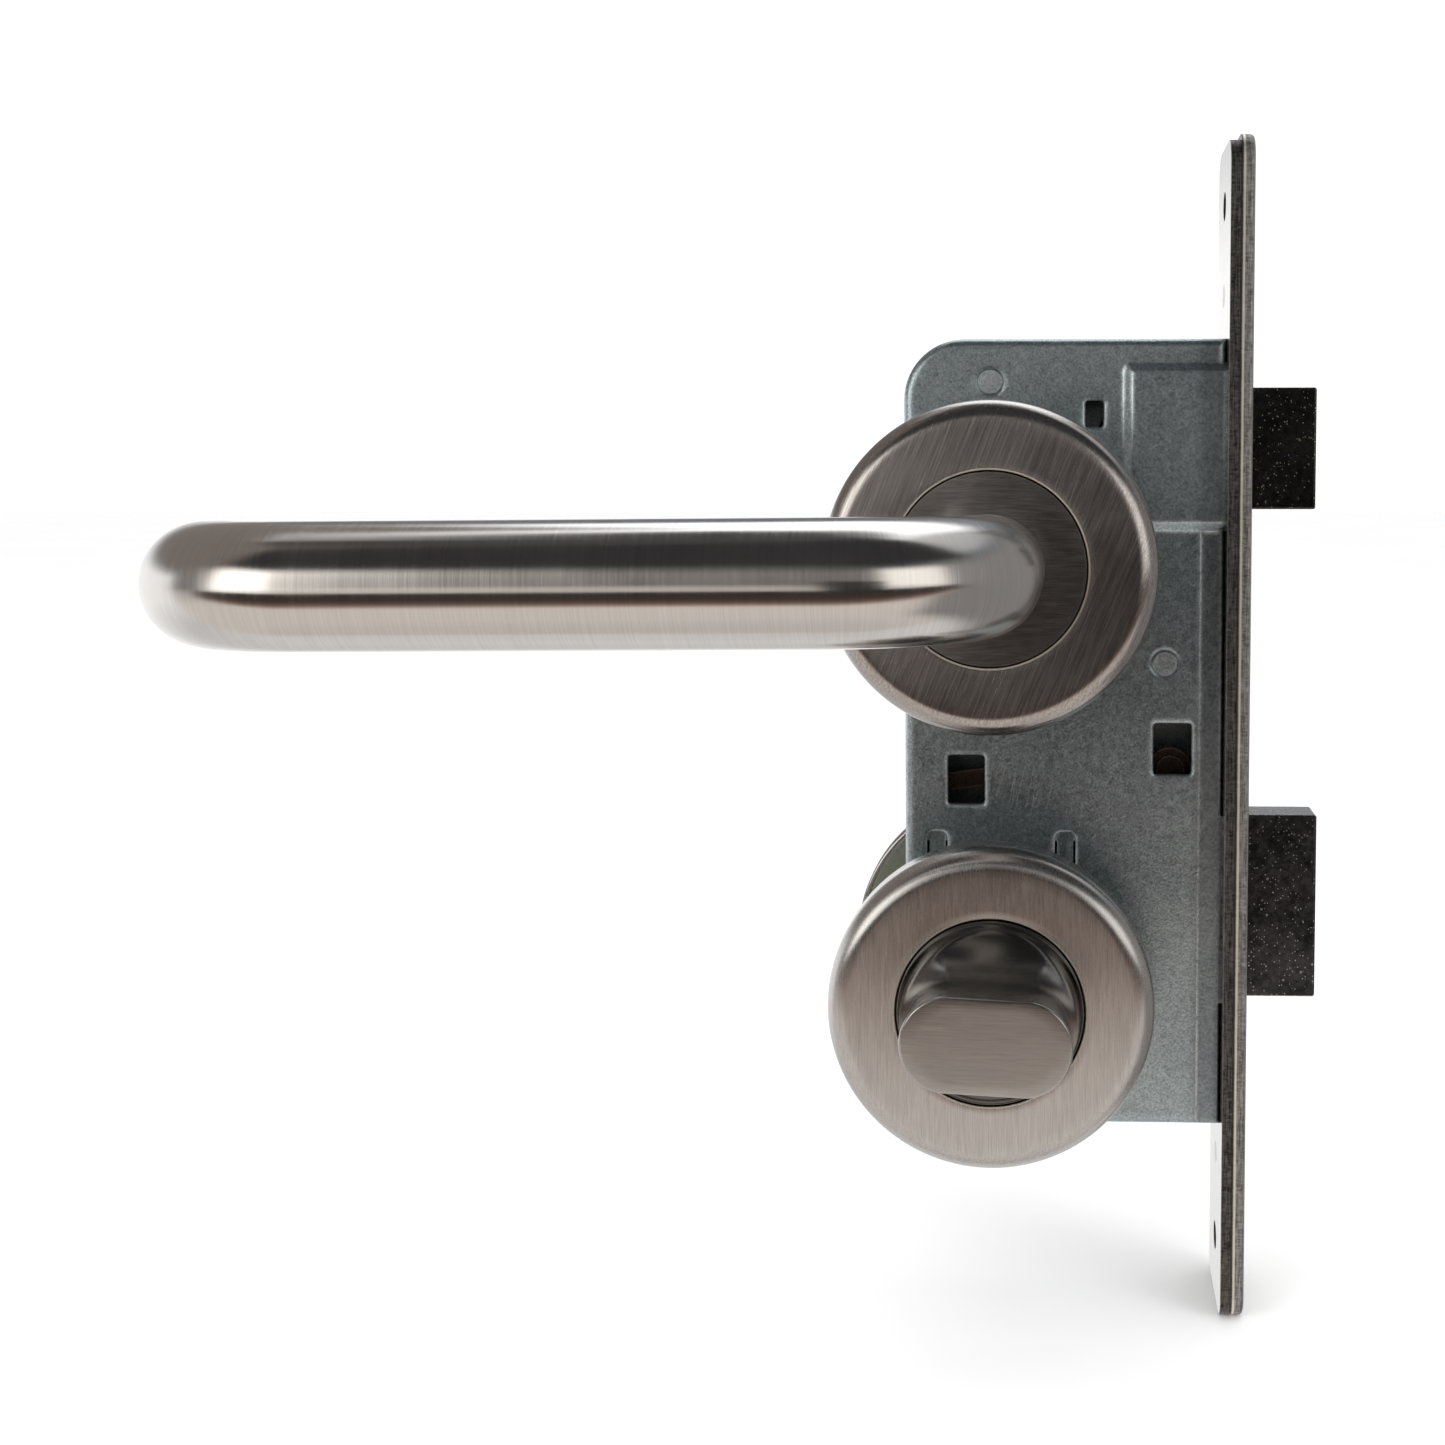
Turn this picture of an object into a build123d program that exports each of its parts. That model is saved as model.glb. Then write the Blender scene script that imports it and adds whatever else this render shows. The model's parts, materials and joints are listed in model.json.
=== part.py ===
from build123d import *
import math
import os

# Bathroom mortise lock with lever handles on both faces of the door, a thumbturn inside
# and a coin-slot emergency release outside.
# Millimetres. Origin: middle of the cover plate's front face. +X runs out of the door's edge,
# -Y is the inside (bathroom) face of the door, +Z is up. A length that ends in _back is
# measured from that front face.

# Layout of the lock
centre_distance = 70.0
latch_from_case_top = 17.9
spindle_below_latch = 18.7
spindle_from_case_back = 15.0
door_thickness = 40.0

# Case of pressed sheet
case_height = 131.6
case_depth = 53.0
case_thickness = 15.0
case_sheet = 1.2
case_corner_radius = 10.0
case_bend_radius = 1.4

# Raised latch pocket in both walls of the case
pocket_depth = 16.9
pocket_height = 27.5
pocket_centre_rise = 0.2
pocket_raise = 1.2
pocket_slope_angle = 50.0

# Coined strip beside the forend
strip_width = 4.0
strip_sink = 0.25

# Small marks of the press tool, placed from the latch, the turn or the front face
upper_window_back = 25.6
upper_window_above_latch = 5.65
upper_window_width = 2.95
upper_window_height = 4.3
left_window_behind_turn = 4.75
left_window_above_turn = 33.6
left_window_width = 6.1
left_window_height = 8.2
right_window_back = 12.45
right_window_above_turn = 38.9
right_window_width = 6.3
right_window_height = 8.6
window_corner = 0.5
window_lip = 0.3
window_lip_angle = 45.0
tongue_width = 3.5
tongue_length = 13.0
tongue_top_above_turn = 25.0
tongue_sink = 0.8
tongue_corner = 1.2
tongues_behind_turn = (9.6, -11.8)
tongue_slit = 0.4

# Forend and cover plate
forend_width = 22.0
forend_height = 196.0
forend_thickness = 1.8
forend_drop = 0.4
cover_margin = 1.0
cover_thickness = 2.2
plate_corner_radius = 4.0
cover_edge_radius = 0.8
fixing_edge_distance = 10.0
fixing_hole_radius = 2.4
cover_screw_radius = 2.0
cover_screw_head_radius = 3.7
screw_slot_width = 0.9
screw_slot_depth = 0.8
countersink_angle = 45.0

# Pillars and studs of the case
pillar_radius = 3.0
pillar_spigot_radius = 2.1
pillar_head_rise = 0.3
pillar_head_taper = 35.0
pillar_punch_radius = 1.0
upper_pillar_behind_spindle = 0.7
upper_pillar_inset = 7.0
middle_pillar_back = 13.8
middle_pillar_below_spindle = 16.75
lower_pillar_behind_turn = 7.5
lower_pillar_inset = 6.8
stud_radius = 2.4
stud_head_radius = 2.0
guide_stud_back = 24.0
guide_stud_above_turn = 17.8
detent_post_back = 12.45
detent_post_above_turn = 34.6
rivet_shank_radius = 1.8
rivet_head_radius = 2.6
rivet_head_height = 1.0
rivet_head_taper = 20.0
upper_rivet_inset = 4.3
middle_rivet_below_spindle = 17.2

# Latch bolt
latch_height = 20.0
latch_thickness = 11.4
latch_throw = 10.9
latch_head_inside = 4.0
latch_nose = 2.2
latch_edge_radius = 0.4
tail_rod_radius = 2.5
tail_rod_shoulder = 0.8
tail_plate_height = 6.0
tail_plate_thickness = 3.0
tail_hook_width = 3.0
tail_hook_gap = 0.9
spring_stop_before_spindle = 14.0
spring_stop_thickness = 1.5
spring_stop_height = 15.0
latch_spring_radius = 5.0
spring_wire_radius = 0.5
latch_spring_turns = 5

# Follower that draws the latch
lever_swing_angle = 45.0
follower_journal_radius = 8.0
follower_barrel_radius = 9.0
follower_disc_radius = 10.4
follower_arm_width = 3.6
follower_tip_radius = 2.6
follower_arm_half_thickness = 2.3
follower_peg_radius = 1.3
follower_peg_reach = 12.2
return_spring_turns = 2
return_spring_pitch = 1.15

# Deadbolt and its hub
deadbolt_above_turn = 11.8
deadbolt_height = 31.1
deadbolt_thickness = 7.6
deadbolt_throw = 12.1
deadbolt_head_inside = 14.0
deadbolt_tail_thickness = 5.0
deadbolt_edge_radius = 0.5
turn_swing_angle = 90.0
hub_radius = 5.4
hub_journal_radius = 5.0
hub_arm_width = 2.8
hub_tip_radius = 2.0
hub_arm_thickness = 4.6
tail_notch_play = 0.55
detent_notch_depth = 1.4
detent_tooth_width = 3.4
detent_arm_height = 3.0
detent_arm_thickness = 1.5
detent_eye_radius = 3.6
detent_arm_behind_turn = 8.45
detent_arm_drop = 2.5
detent_arm_bow = 0.8
detent_post_end = 1.2

# Square spindles
lever_square = 8.0
turn_square = 6.0

# Roses
rose_radius = 26.0
rose_wall = 1.0
rose_face = 1.2
rose_edge_radius = 2.4
lever_rose_height = 10.8
turn_rose_height = 7.7
lever_hole_radius = 15.1
turn_hole_radius = 15.0
rose_gap = 0.2
rose_lip = 0.25
rose_notch_width = 2.4
rose_notch_depth = 1.0
rose_plate_thickness = 3.0
rose_screw_radius = 2.2
rose_screw_spacing = 38.0

# Lever of bent tube
tube_radius = 8.5
tube_wall = 1.5
grip_centre_height = 55.4
lever_reach = 107.2
lever_bend_radius = 20.0
return_length = 21.0
outside_lever_droop_angle = 6.2
end_cap_thickness = 3.0

# Lever hub, bush and clip
base_disc_thickness = 2.0
lever_journal_radius = 8.9
bush_wall = 2.0
bush_flange_radius = 13.0
bush_flange_thickness = 1.0
boss_wall = 2.2
hub_spigot_length = 14.0
socket_end_wall = 1.0
grub_radius = 2.5
grub_height_on_neck = 6.2
grub_hex_radius = 1.4
circlip_thickness = 1.0
circlip_width = 2.4
circlip_groove = 0.7

# Thumbturn and emergency release
turn_width = 26.0
turn_height = 14.7
turn_flat = 12.8
turn_projection = 17.2
turn_tilt_angle = 3.0
turn_edge_radius = 0.5
turn_journal_radius = 6.9
turn_socket_depth = 8.0
release_boss_radius = 7.5
release_boss_height = 2.4
release_boss_taper = 12.0
coin_slot_width = 2.2
coin_slot_length = 11.0
coin_slot_depth = 2.0

# Clearances
running_fit = 0.06
socket_fit = 0.05
bolt_clearance = 0.3
seat_gap = 0.2

# Places worked out from the sizes above
half_case = case_thickness / 2
case_inside = half_case - case_sheet
door_face = door_thickness / 2
plates_thickness = forend_thickness + cover_thickness
case_front_x = -plates_thickness
case_back_x = case_front_x - case_depth
case_middle_x = (case_front_x + case_back_x) / 2
flange_inner_x = case_front_x - case_sheet
backset = -case_back_x - spindle_from_case_back
latch_z = case_height / 2 - latch_from_case_top
spindle_z = latch_z - spindle_below_latch
turn_z = spindle_z - centre_distance
deadbolt_z = turn_z + deadbolt_above_turn
guide_stud_z = turn_z + guide_stud_above_turn
detent_post_z = turn_z + detent_post_above_turn
tongue_top_z = turn_z + tongue_top_above_turn
spring_stop_back = backset - spring_stop_before_spindle
pillar_places = (
    (backset + upper_pillar_behind_spindle, case_height / 2 - upper_pillar_inset),
    (middle_pillar_back, spindle_z - middle_pillar_below_spindle),
    (backset + lower_pillar_behind_turn, -case_height / 2 + lower_pillar_inset),
)
# The lowest rivet sits half-way between the deadbolt and the case's end
rivet_heights = (
    case_height / 2 - upper_rivet_inset,
    spindle_z - middle_rivet_below_spindle,
    (deadbolt_z - deadbolt_height / 2 - case_height / 2) / 2,
)
# The cover screws sit a third of the way from the case's end to the door screws
cover_height = forend_height + cover_margin
fixing_spacing = forend_height - 2 * fixing_edge_distance
cover_screw_spacing = (2 * case_height + fixing_spacing) / 3
lever_swing_half = math.radians(lever_swing_angle / 2)
turn_swing_half = math.radians(turn_swing_angle / 2)
lever_axis = Axis((-backset, 0, spindle_z), (0, 1, 0))
turn_axis = Axis((-backset, 0, turn_z), (0, 1, 0))


def face_plane(y):
    # A plane across the door's thickness: local x is +X, local y is +Z, it faces -Y
    return Plane(origin=(0, y, 0), x_dir=(1, 0, 0), z_dir=(0, -1, 0))


def edge_plane(x):
    # A plane parallel to the door's edge: local x is +Y, local y is +Z, it faces +X
    return Plane(origin=(x, 0, 0), x_dir=(0, 1, 0), z_dir=(1, 0, 0))


def turning_plane(z):
    # A level plane through a spindle: local x is the distance from its axis, local y is +Y
    return Plane(origin=(-backset, 0, z), x_dir=(1, 0, 0), z_dir=(0, 0, 1))


def save(piece, name):
    piece.part.label = name
    export_step(piece.part, f"parts/{name}.step")


def case_outline(inset):
    # Both corners away from the forend are round
    with Locations((case_middle_x, 0)):
        outline = Rectangle(case_depth - 2 * inset, case_height - 2 * inset)
    fillet(outline.vertices().group_by(Axis.X)[0], case_corner_radius - inset)


def ring_profile(points):
    # One closed profile in the level plane, to be turned round a spindle
    with BuildLine() as outline:
        Polyline(*points, close=True)
    make_face(outline.line)


os.makedirs("parts", exist_ok=True)

# Case tray: inside wall of the case with its rim, pocket, windows and tongues
pocket_middle_x = case_front_x - pocket_depth / 2
pocket_z = latch_z + pocket_centre_rise
follower_hole_radius = follower_journal_radius + running_fit
hub_hole_radius = hub_journal_radius + running_fit
latch_opening_height = latch_height + 2 * bolt_clearance
latch_opening_width = latch_thickness + 2 * bolt_clearance
deadbolt_opening_height = deadbolt_height + 2 * bolt_clearance
deadbolt_opening_width = deadbolt_thickness + 2 * bolt_clearance


def latch_pocket(face_y, outward, mode):
    # Tapered boss that runs on past the case's front edge, where it is trimmed
    plane = Plane(origin=(0, face_y, 0), x_dir=(1, 0, 0), z_dir=(0, outward, 0))
    with BuildSketch(plane) as boss_sketch:
        with Locations((pocket_middle_x + pocket_depth / 2, -outward * pocket_z)):
            boss = Rectangle(2 * pocket_depth, pocket_height)
        fillet(boss.vertices(), case_bend_radius)
    extrude(boss_sketch.sketch, amount=pocket_raise, taper=pocket_slope_angle, mode=mode)


def case_holes(plane_y):
    # Holes through one wall for the follower, the turn hub and the pillars
    with BuildSketch(face_plane(plane_y)) as holes:
        with Locations((-backset, spindle_z)):
            Circle(follower_hole_radius)
        with Locations((-backset, turn_z)):
            Circle(hub_hole_radius)
        with Locations(*[(-back, height) for back, height in pillar_places]):
            Circle(pillar_spigot_radius + socket_fit)
    extrude(holes.sketch, amount=case_sheet + pocket_raise, both=True, mode=Mode.SUBTRACT)


windows = (
    (upper_window_back, latch_z + upper_window_above_latch, upper_window_width, upper_window_height),
    (backset + left_window_behind_turn, turn_z + left_window_above_turn, left_window_width, left_window_height),
    (right_window_back, turn_z + right_window_above_turn, right_window_width, right_window_height),
)
tongue_backs = [backset + behind for behind in tongues_behind_turn]

with BuildPart() as case_tray:
    with BuildSketch(face_plane(case_inside)):
        case_outline(0)
    extrude(amount=half_case + case_inside)
    fillet(case_tray.faces().sort_by(Axis.Y)[0].edges(), case_bend_radius)
    # The wall runs straight to the forend where the deadbolt leaves the case
    with BuildSketch(face_plane(-case_inside)):
        with Locations((case_front_x - case_bend_radius, deadbolt_z)):
            Rectangle(2 * case_bend_radius, deadbolt_opening_height)
    extrude(amount=case_sheet)
    latch_pocket(-half_case, -1, Mode.ADD)
    with BuildSketch(edge_plane(case_front_x)):
        Rectangle(4 * case_thickness, 2 * case_height)
    extrude(amount=2 * pocket_depth, mode=Mode.SUBTRACT)
    with BuildSketch(face_plane(case_inside)):
        case_outline(case_sheet)
    extrude(amount=2 * case_inside, mode=Mode.SUBTRACT)
    with BuildSketch(edge_plane(flange_inner_x)):
        with Locations((0, latch_z)):
            Rectangle(2 * case_inside, latch_opening_height)
        with Locations((0, deadbolt_z)):
            Rectangle(2 * case_inside, deadbolt_opening_height)
    extrude(amount=2 * case_sheet, mode=Mode.SUBTRACT)
    latch_pocket(-case_inside, -1, Mode.SUBTRACT)
    # Coined strip along the front edge, below the pocket
    strip_top = pocket_z - pocket_height / 2
    strip_bottom = -case_height / 2
    with BuildSketch(face_plane(-half_case + strip_sink)):
        with Locations((case_front_x - strip_width / 2, (strip_top + strip_bottom) / 2)):
            Rectangle(strip_width, strip_top - strip_bottom)
    extrude(amount=strip_sink, mode=Mode.SUBTRACT)
    # Tongues pressed inwards between two slits
    tongue_middle_z = tongue_top_z - tongue_length / 2
    with BuildSketch(face_plane(-case_inside + tongue_sink)):
        with Locations(*[(-back, tongue_middle_z) for back in tongue_backs]):
            RectangleRounded(tongue_width, tongue_length, tongue_corner)
    extrude(amount=tongue_sink)
    with BuildSketch(face_plane(-half_case + tongue_sink)):
        with Locations(*[(-back, tongue_middle_z) for back in tongue_backs]):
            RectangleRounded(tongue_width, tongue_length, tongue_corner)
    extrude(amount=2 * tongue_sink, mode=Mode.SUBTRACT)
    slit_shift = (tongue_width - tongue_slit) / 2
    with BuildSketch(face_plane(-case_inside + 2 * tongue_sink)):
        for back in tongue_backs:
            with Locations((-back - slit_shift, tongue_middle_z), (-back + slit_shift, tongue_middle_z)):
                Rectangle(tongue_slit, tongue_length - tongue_width)
    extrude(amount=4 * tongue_sink, mode=Mode.SUBTRACT)
    case_holes(-half_case)
    with BuildSketch(edge_plane(flange_inner_x)):
        with Locations(*[(0, height) for height in rivet_heights]):
            Circle(rivet_shank_radius + socket_fit)
    extrude(amount=case_sheet, mode=Mode.SUBTRACT)
    # Windows with a coined lip
    for back, height, width, tall in windows:
        with BuildSketch(face_plane(0)):
            with Locations((-back, height)):
                RectangleRounded(width, tall, window_corner)
        extrude(amount=case_thickness, mode=Mode.SUBTRACT)
        with BuildSketch(face_plane(-half_case)):
            with Locations((-back, height)):
                RectangleRounded(width + 2 * window_lip, tall + 2 * window_lip, window_corner + window_lip)
        extrude(amount=-window_lip, taper=window_lip_angle, mode=Mode.SUBTRACT)
save(case_tray, "case_tray")

# Case cap: outside wall of the case, laid on the tray's rim
with BuildPart() as case_cap:
    with BuildSketch(face_plane(half_case)):
        case_outline(0)
    extrude(amount=case_sheet)
    latch_pocket(half_case, 1, Mode.ADD)
    with BuildSketch(edge_plane(case_front_x)):
        Rectangle(4 * case_thickness, 2 * case_height)
    extrude(amount=2 * pocket_depth, mode=Mode.SUBTRACT)
    latch_pocket(case_inside, 1, Mode.SUBTRACT)
    case_holes(half_case)
    with BuildSketch(face_plane(half_case)):
        with Locations((-guide_stud_back, guide_stud_z), (-detent_post_back, detent_post_z)):
            Circle(stud_head_radius + socket_fit)
    extrude(amount=case_sheet, both=True, mode=Mode.SUBTRACT)
save(case_cap, "case_cap")

# Three pillars hold the walls apart, their ends peened over
with BuildPart() as case_pillars:
    for back, height in pillar_places:
        with BuildSketch(face_plane(case_inside)):
            with Locations((-back, height)):
                Circle(pillar_radius)
        extrude(amount=2 * case_inside)
        with BuildSketch(face_plane(half_case)):
            with Locations((-back, height)):
                Circle(pillar_spigot_radius)
        extrude(amount=2 * half_case)
        for end_y, outward in ((-half_case, -1), (half_case, 1)):
            end_plane = Plane(origin=(-back, end_y, height), x_dir=(1, 0, 0), z_dir=(0, outward, 0))
            with BuildSketch(end_plane):
                Circle(pillar_spigot_radius)
            extrude(amount=pillar_head_rise, taper=pillar_head_taper)
            with BuildSketch(end_plane.offset(pillar_head_rise)):
                RegularPolygon(pillar_punch_radius, 6)
            extrude(amount=-pillar_head_rise / 2, mode=Mode.SUBTRACT)
save(case_pillars, "case_pillars")

# Two studs riveted to the cap: the deadbolt's guide and the detent spring's post
stud_places = (
    (guide_stud_back, guide_stud_z, -case_inside + seat_gap),
    (detent_post_back, detent_post_z, -detent_arm_thickness / 2 - detent_post_end),
)
with BuildPart() as case_studs:
    for back, height, stud_end_y in stud_places:
        with BuildSketch(face_plane(case_inside)):
            with Locations((-back, height)):
                Circle(stud_radius)
        extrude(amount=case_inside - stud_end_y)
        with BuildSketch(face_plane(half_case + pillar_head_rise)):
            with Locations((-back, height)):
                Circle(stud_head_radius)
        extrude(amount=case_sheet + pillar_head_rise)
save(case_studs, "case_studs")


def plate_openings(start_x, thickness):
    # Openings for both bolts and the holes for the door screws
    with BuildSketch(edge_plane(start_x)) as openings:
        with Locations((0, latch_z)):
            RectangleRounded(latch_opening_width, latch_opening_height, latch_edge_radius)
        with Locations((0, deadbolt_z)):
            RectangleRounded(deadbolt_opening_width, deadbolt_opening_height, deadbolt_edge_radius)
        with Locations((0, -fixing_spacing / 2), (0, fixing_spacing / 2)):
            Circle(fixing_hole_radius)
    extrude(openings.sketch, amount=thickness, mode=Mode.SUBTRACT)


# Forend: the plate that the case is riveted to
with BuildPart() as forend:
    with BuildSketch(edge_plane(case_front_x)):
        with Locations((0, -forend_drop)):
            RectangleRounded(forend_width, forend_height, plate_corner_radius)
    extrude(amount=forend_thickness)
    plate_openings(case_front_x, forend_thickness)
    with BuildSketch(edge_plane(case_front_x)):
        with Locations((0, -cover_screw_spacing / 2), (0, cover_screw_spacing / 2)):
            Circle(cover_screw_radius)
        with Locations(*[(0, height) for height in rivet_heights]):
            Circle(rivet_shank_radius + socket_fit)
    extrude(amount=forend_thickness, mode=Mode.SUBTRACT)
save(forend, "forend")

# Cover plate: the finished plate seen on the door's edge
screw_sink = cover_screw_head_radius - cover_screw_radius
with BuildPart() as cover_plate:
    with BuildSketch(edge_plane(-cover_thickness)):
        RectangleRounded(forend_width, cover_height, plate_corner_radius)
    extrude(amount=cover_thickness)
    fillet(cover_plate.faces().sort_by(Axis.X)[-1].edges(), cover_edge_radius)
    plate_openings(-cover_thickness, cover_thickness)
    with BuildSketch(edge_plane(-cover_thickness)):
        with Locations((0, -cover_screw_spacing / 2), (0, cover_screw_spacing / 2)):
            Circle(cover_screw_radius + socket_fit)
    extrude(amount=cover_thickness, mode=Mode.SUBTRACT)
    with BuildSketch(edge_plane(0)):
        with Locations((0, -cover_screw_spacing / 2), (0, cover_screw_spacing / 2)):
            Circle(cover_screw_head_radius)
    extrude(amount=-screw_sink + socket_fit, taper=countersink_angle, mode=Mode.SUBTRACT)
save(cover_plate, "cover_plate")

# Two countersunk screws hold the cover plate on the forend
with BuildPart() as cover_screws:
    for height in (-cover_screw_spacing / 2, cover_screw_spacing / 2):
        with BuildSketch(edge_plane(case_front_x)):
            with Locations((0, height)):
                Circle(cover_screw_radius)
        extrude(amount=plates_thickness - socket_fit)
        with BuildSketch(edge_plane(-socket_fit)):
            with Locations((0, height)):
                Circle(cover_screw_head_radius - socket_fit)
        extrude(amount=-screw_sink + socket_fit, taper=countersink_angle)
        with BuildSketch(edge_plane(-socket_fit)):
            with Locations((0, height)):
                Rectangle(2 * cover_screw_head_radius, screw_slot_width)
        extrude(amount=-screw_slot_depth, mode=Mode.SUBTRACT)
save(cover_screws, "cover_screws")

# Three rivets fix the case's front edge to the forend
with BuildPart() as forend_rivets:
    for height in rivet_heights:
        with BuildSketch(edge_plane(flange_inner_x)):
            with Locations((0, height)):
                Circle(rivet_shank_radius)
        extrude(amount=case_sheet + forend_thickness)
        with BuildSketch(edge_plane(flange_inner_x)):
            with Locations((0, height)):
                Circle(rivet_head_radius)
        extrude(amount=-rivet_head_height, taper=rivet_head_taper)
save(forend_rivets, "forend_rivets")

# Latch head: square block with its bevel on the outside face
latch_rear_x = case_front_x - latch_head_inside
rod_seat_radius = tail_rod_radius - tail_rod_shoulder
rod_seat_depth = latch_head_inside
with BuildPart() as latch_head:
    with BuildSketch(Plane.XY.offset(latch_z - latch_height / 2)):
        with BuildLine():
            Polyline(
                (latch_rear_x, -latch_thickness / 2),
                (latch_throw, -latch_thickness / 2),
                (latch_throw, -latch_thickness / 2 + latch_nose),
                (seat_gap, latch_thickness / 2),
                (latch_rear_x, latch_thickness / 2),
                close=True,
            )
        make_face()
    extrude(amount=latch_height)
    fillet(latch_head.edges().filter_by(Axis.Z).group_by(Axis.X)[-1], latch_edge_radius)
    fillet(latch_head.faces().sort_by(Axis.Y)[0].edges().filter_by(Axis.X), latch_edge_radius)
    with BuildSketch(edge_plane(latch_rear_x)):
        with Locations((0, latch_z)):
            Circle(rod_seat_radius + socket_fit)
    extrude(amount=rod_seat_depth, mode=Mode.SUBTRACT)
save(latch_head, "latch_head")

# Latch tail: rod, plate and the hook that the follower's arm draws back
arm_radius = latch_throw / (2 * math.sin(lever_swing_half))
arm_tip_x = -backset + arm_radius * math.sin(lever_swing_half)
arm_tip_z = spindle_z + arm_radius * math.cos(lever_swing_half)
hook_face_x = arm_tip_x - follower_tip_radius - bolt_clearance
hook_back_x = hook_face_x - tail_hook_width
hook_bottom_z = spindle_z + follower_disc_radius + tail_hook_gap
plate_front_x = -spring_stop_back - spring_stop_thickness - seat_gap
plate_bottom_z = spindle_z + arm_radius + follower_tip_radius + bolt_clearance
with BuildPart() as latch_tail:
    with BuildSketch(edge_plane(latch_rear_x)):
        with Locations((0, latch_z)):
            Circle(tail_rod_radius)
    extrude(amount=plate_front_x - latch_rear_x)
    with BuildSketch(edge_plane(latch_rear_x)):
        with Locations((0, latch_z)):
            Circle(rod_seat_radius)
    extrude(amount=rod_seat_depth - seat_gap)
    with BuildSketch(face_plane(tail_plate_thickness / 2)):
        with BuildLine():
            Polyline(
                (plate_front_x, plate_bottom_z),
                (plate_front_x, plate_bottom_z + tail_plate_height),
                (hook_back_x, plate_bottom_z + tail_plate_height),
                (hook_back_x, hook_bottom_z),
                (hook_face_x, hook_bottom_z),
                (hook_face_x, plate_bottom_z),
                close=True,
            )
        make_face()
    extrude(amount=tail_plate_thickness)
    fillet(latch_tail.edges().filter_by(Axis.Y).group_by(Axis.X)[0], latch_edge_radius)
save(latch_tail, "latch_tail")

# Spring stop: a cross wall between tray and cap that the latch spring pushes against
with BuildPart() as spring_stop:
    with BuildSketch(edge_plane(-spring_stop_back - spring_stop_thickness)):
        with Locations((0, latch_z)):
            Rectangle(2 * case_inside, spring_stop_height)
            Circle(tail_rod_radius + bolt_clearance, mode=Mode.SUBTRACT)
    extrude(amount=spring_stop_thickness)
save(spring_stop, "spring_stop")


def wire_coil(plane, radius, pitch, half_turns, end_arc):
    # Level half turns and rising half turns, which meet without a kink, then a last level arc
    for turn in range(half_turns + 1):
        level = plane.origin + plane.z_dir * pitch * (turn // 2)
        if turn % 2 == 0:
            start = level + plane.x_dir * radius
            middle = level
            turning = plane.z_dir
        else:
            start = level - plane.x_dir * radius
            middle = level + plane.z_dir * pitch / 2
            turning = (plane.x_dir * 2 * radius + plane.z_dir * pitch).normalized().cross(plane.y_dir)
        with BuildSketch(Plane(origin=start, z_dir=plane.y_dir)) as section:
            Circle(spring_wire_radius)
        arc = end_arc if turn == half_turns else 180
        revolve(section.sketch, axis=Axis(middle, turning), revolution_arc=arc)


# Latch spring: wire coil between the latch head and the stop
latch_spring_start = -spring_stop_back + spring_wire_radius
latch_spring_length = latch_rear_x - spring_wire_radius - latch_spring_start
latch_spring_pitch = latch_spring_length / latch_spring_turns
latch_coil_plane = Plane(origin=(latch_spring_start, 0, latch_z), x_dir=(0, 0, 1), z_dir=(1, 0, 0))
with BuildPart() as latch_spring:
    wire_coil(latch_coil_plane, latch_spring_radius, latch_spring_pitch, 2 * latch_spring_turns, 180)
save(latch_spring, "latch_spring")

# Follower: hub with a square hole, its arm and the peg for the return spring
disc_top_y = case_inside - seat_gap
disc_bottom_y = -follower_arm_half_thickness
arm_angle = 90 - lever_swing_angle / 2
return_coil_radius = follower_barrel_radius + bolt_clearance + spring_wire_radius
peg_offset_x = return_coil_radius - spring_wire_radius - follower_peg_radius
peg_offset_z = -math.sqrt(follower_peg_reach**2 - peg_offset_x**2)
with BuildPart() as follower:
    with BuildSketch(turning_plane(spindle_z)):
        ring_profile((
            (0, -half_case),
            (follower_journal_radius, -half_case),
            (follower_journal_radius, -disc_top_y),
            (follower_barrel_radius, -disc_top_y),
            (follower_barrel_radius, disc_bottom_y),
            (follower_disc_radius, disc_bottom_y),
            (follower_disc_radius, disc_top_y),
            (follower_journal_radius, disc_top_y),
            (follower_journal_radius, half_case),
            (0, half_case),
        ))
    revolve(axis=lever_axis)
    with BuildSketch(face_plane(follower_arm_half_thickness)):
        with Locations(Location((-backset, spindle_z), arm_angle)):
            with Locations((arm_radius / 2, 0)):
                Rectangle(arm_radius, follower_arm_width)
        with Locations((arm_tip_x, arm_tip_z)):
            Circle(follower_tip_radius)
    extrude(amount=2 * follower_arm_half_thickness)
    with BuildSketch(face_plane(follower_arm_half_thickness)):
        with Locations((-backset + peg_offset_x, spindle_z + peg_offset_z)):
            Circle(2 * follower_peg_radius)
    extrude(amount=2 * follower_arm_half_thickness)
    with BuildSketch(face_plane(0)):
        with Locations((-backset + peg_offset_x, spindle_z + peg_offset_z)):
            Circle(follower_peg_radius)
    extrude(amount=disc_top_y)
    with BuildSketch(face_plane(half_case)):
        with Locations((-backset, spindle_z)):
            Rectangle(lever_square + 2 * socket_fit, lever_square + 2 * socket_fit)
    extrude(amount=case_thickness, mode=Mode.SUBTRACT)
save(follower, "follower")

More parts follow.
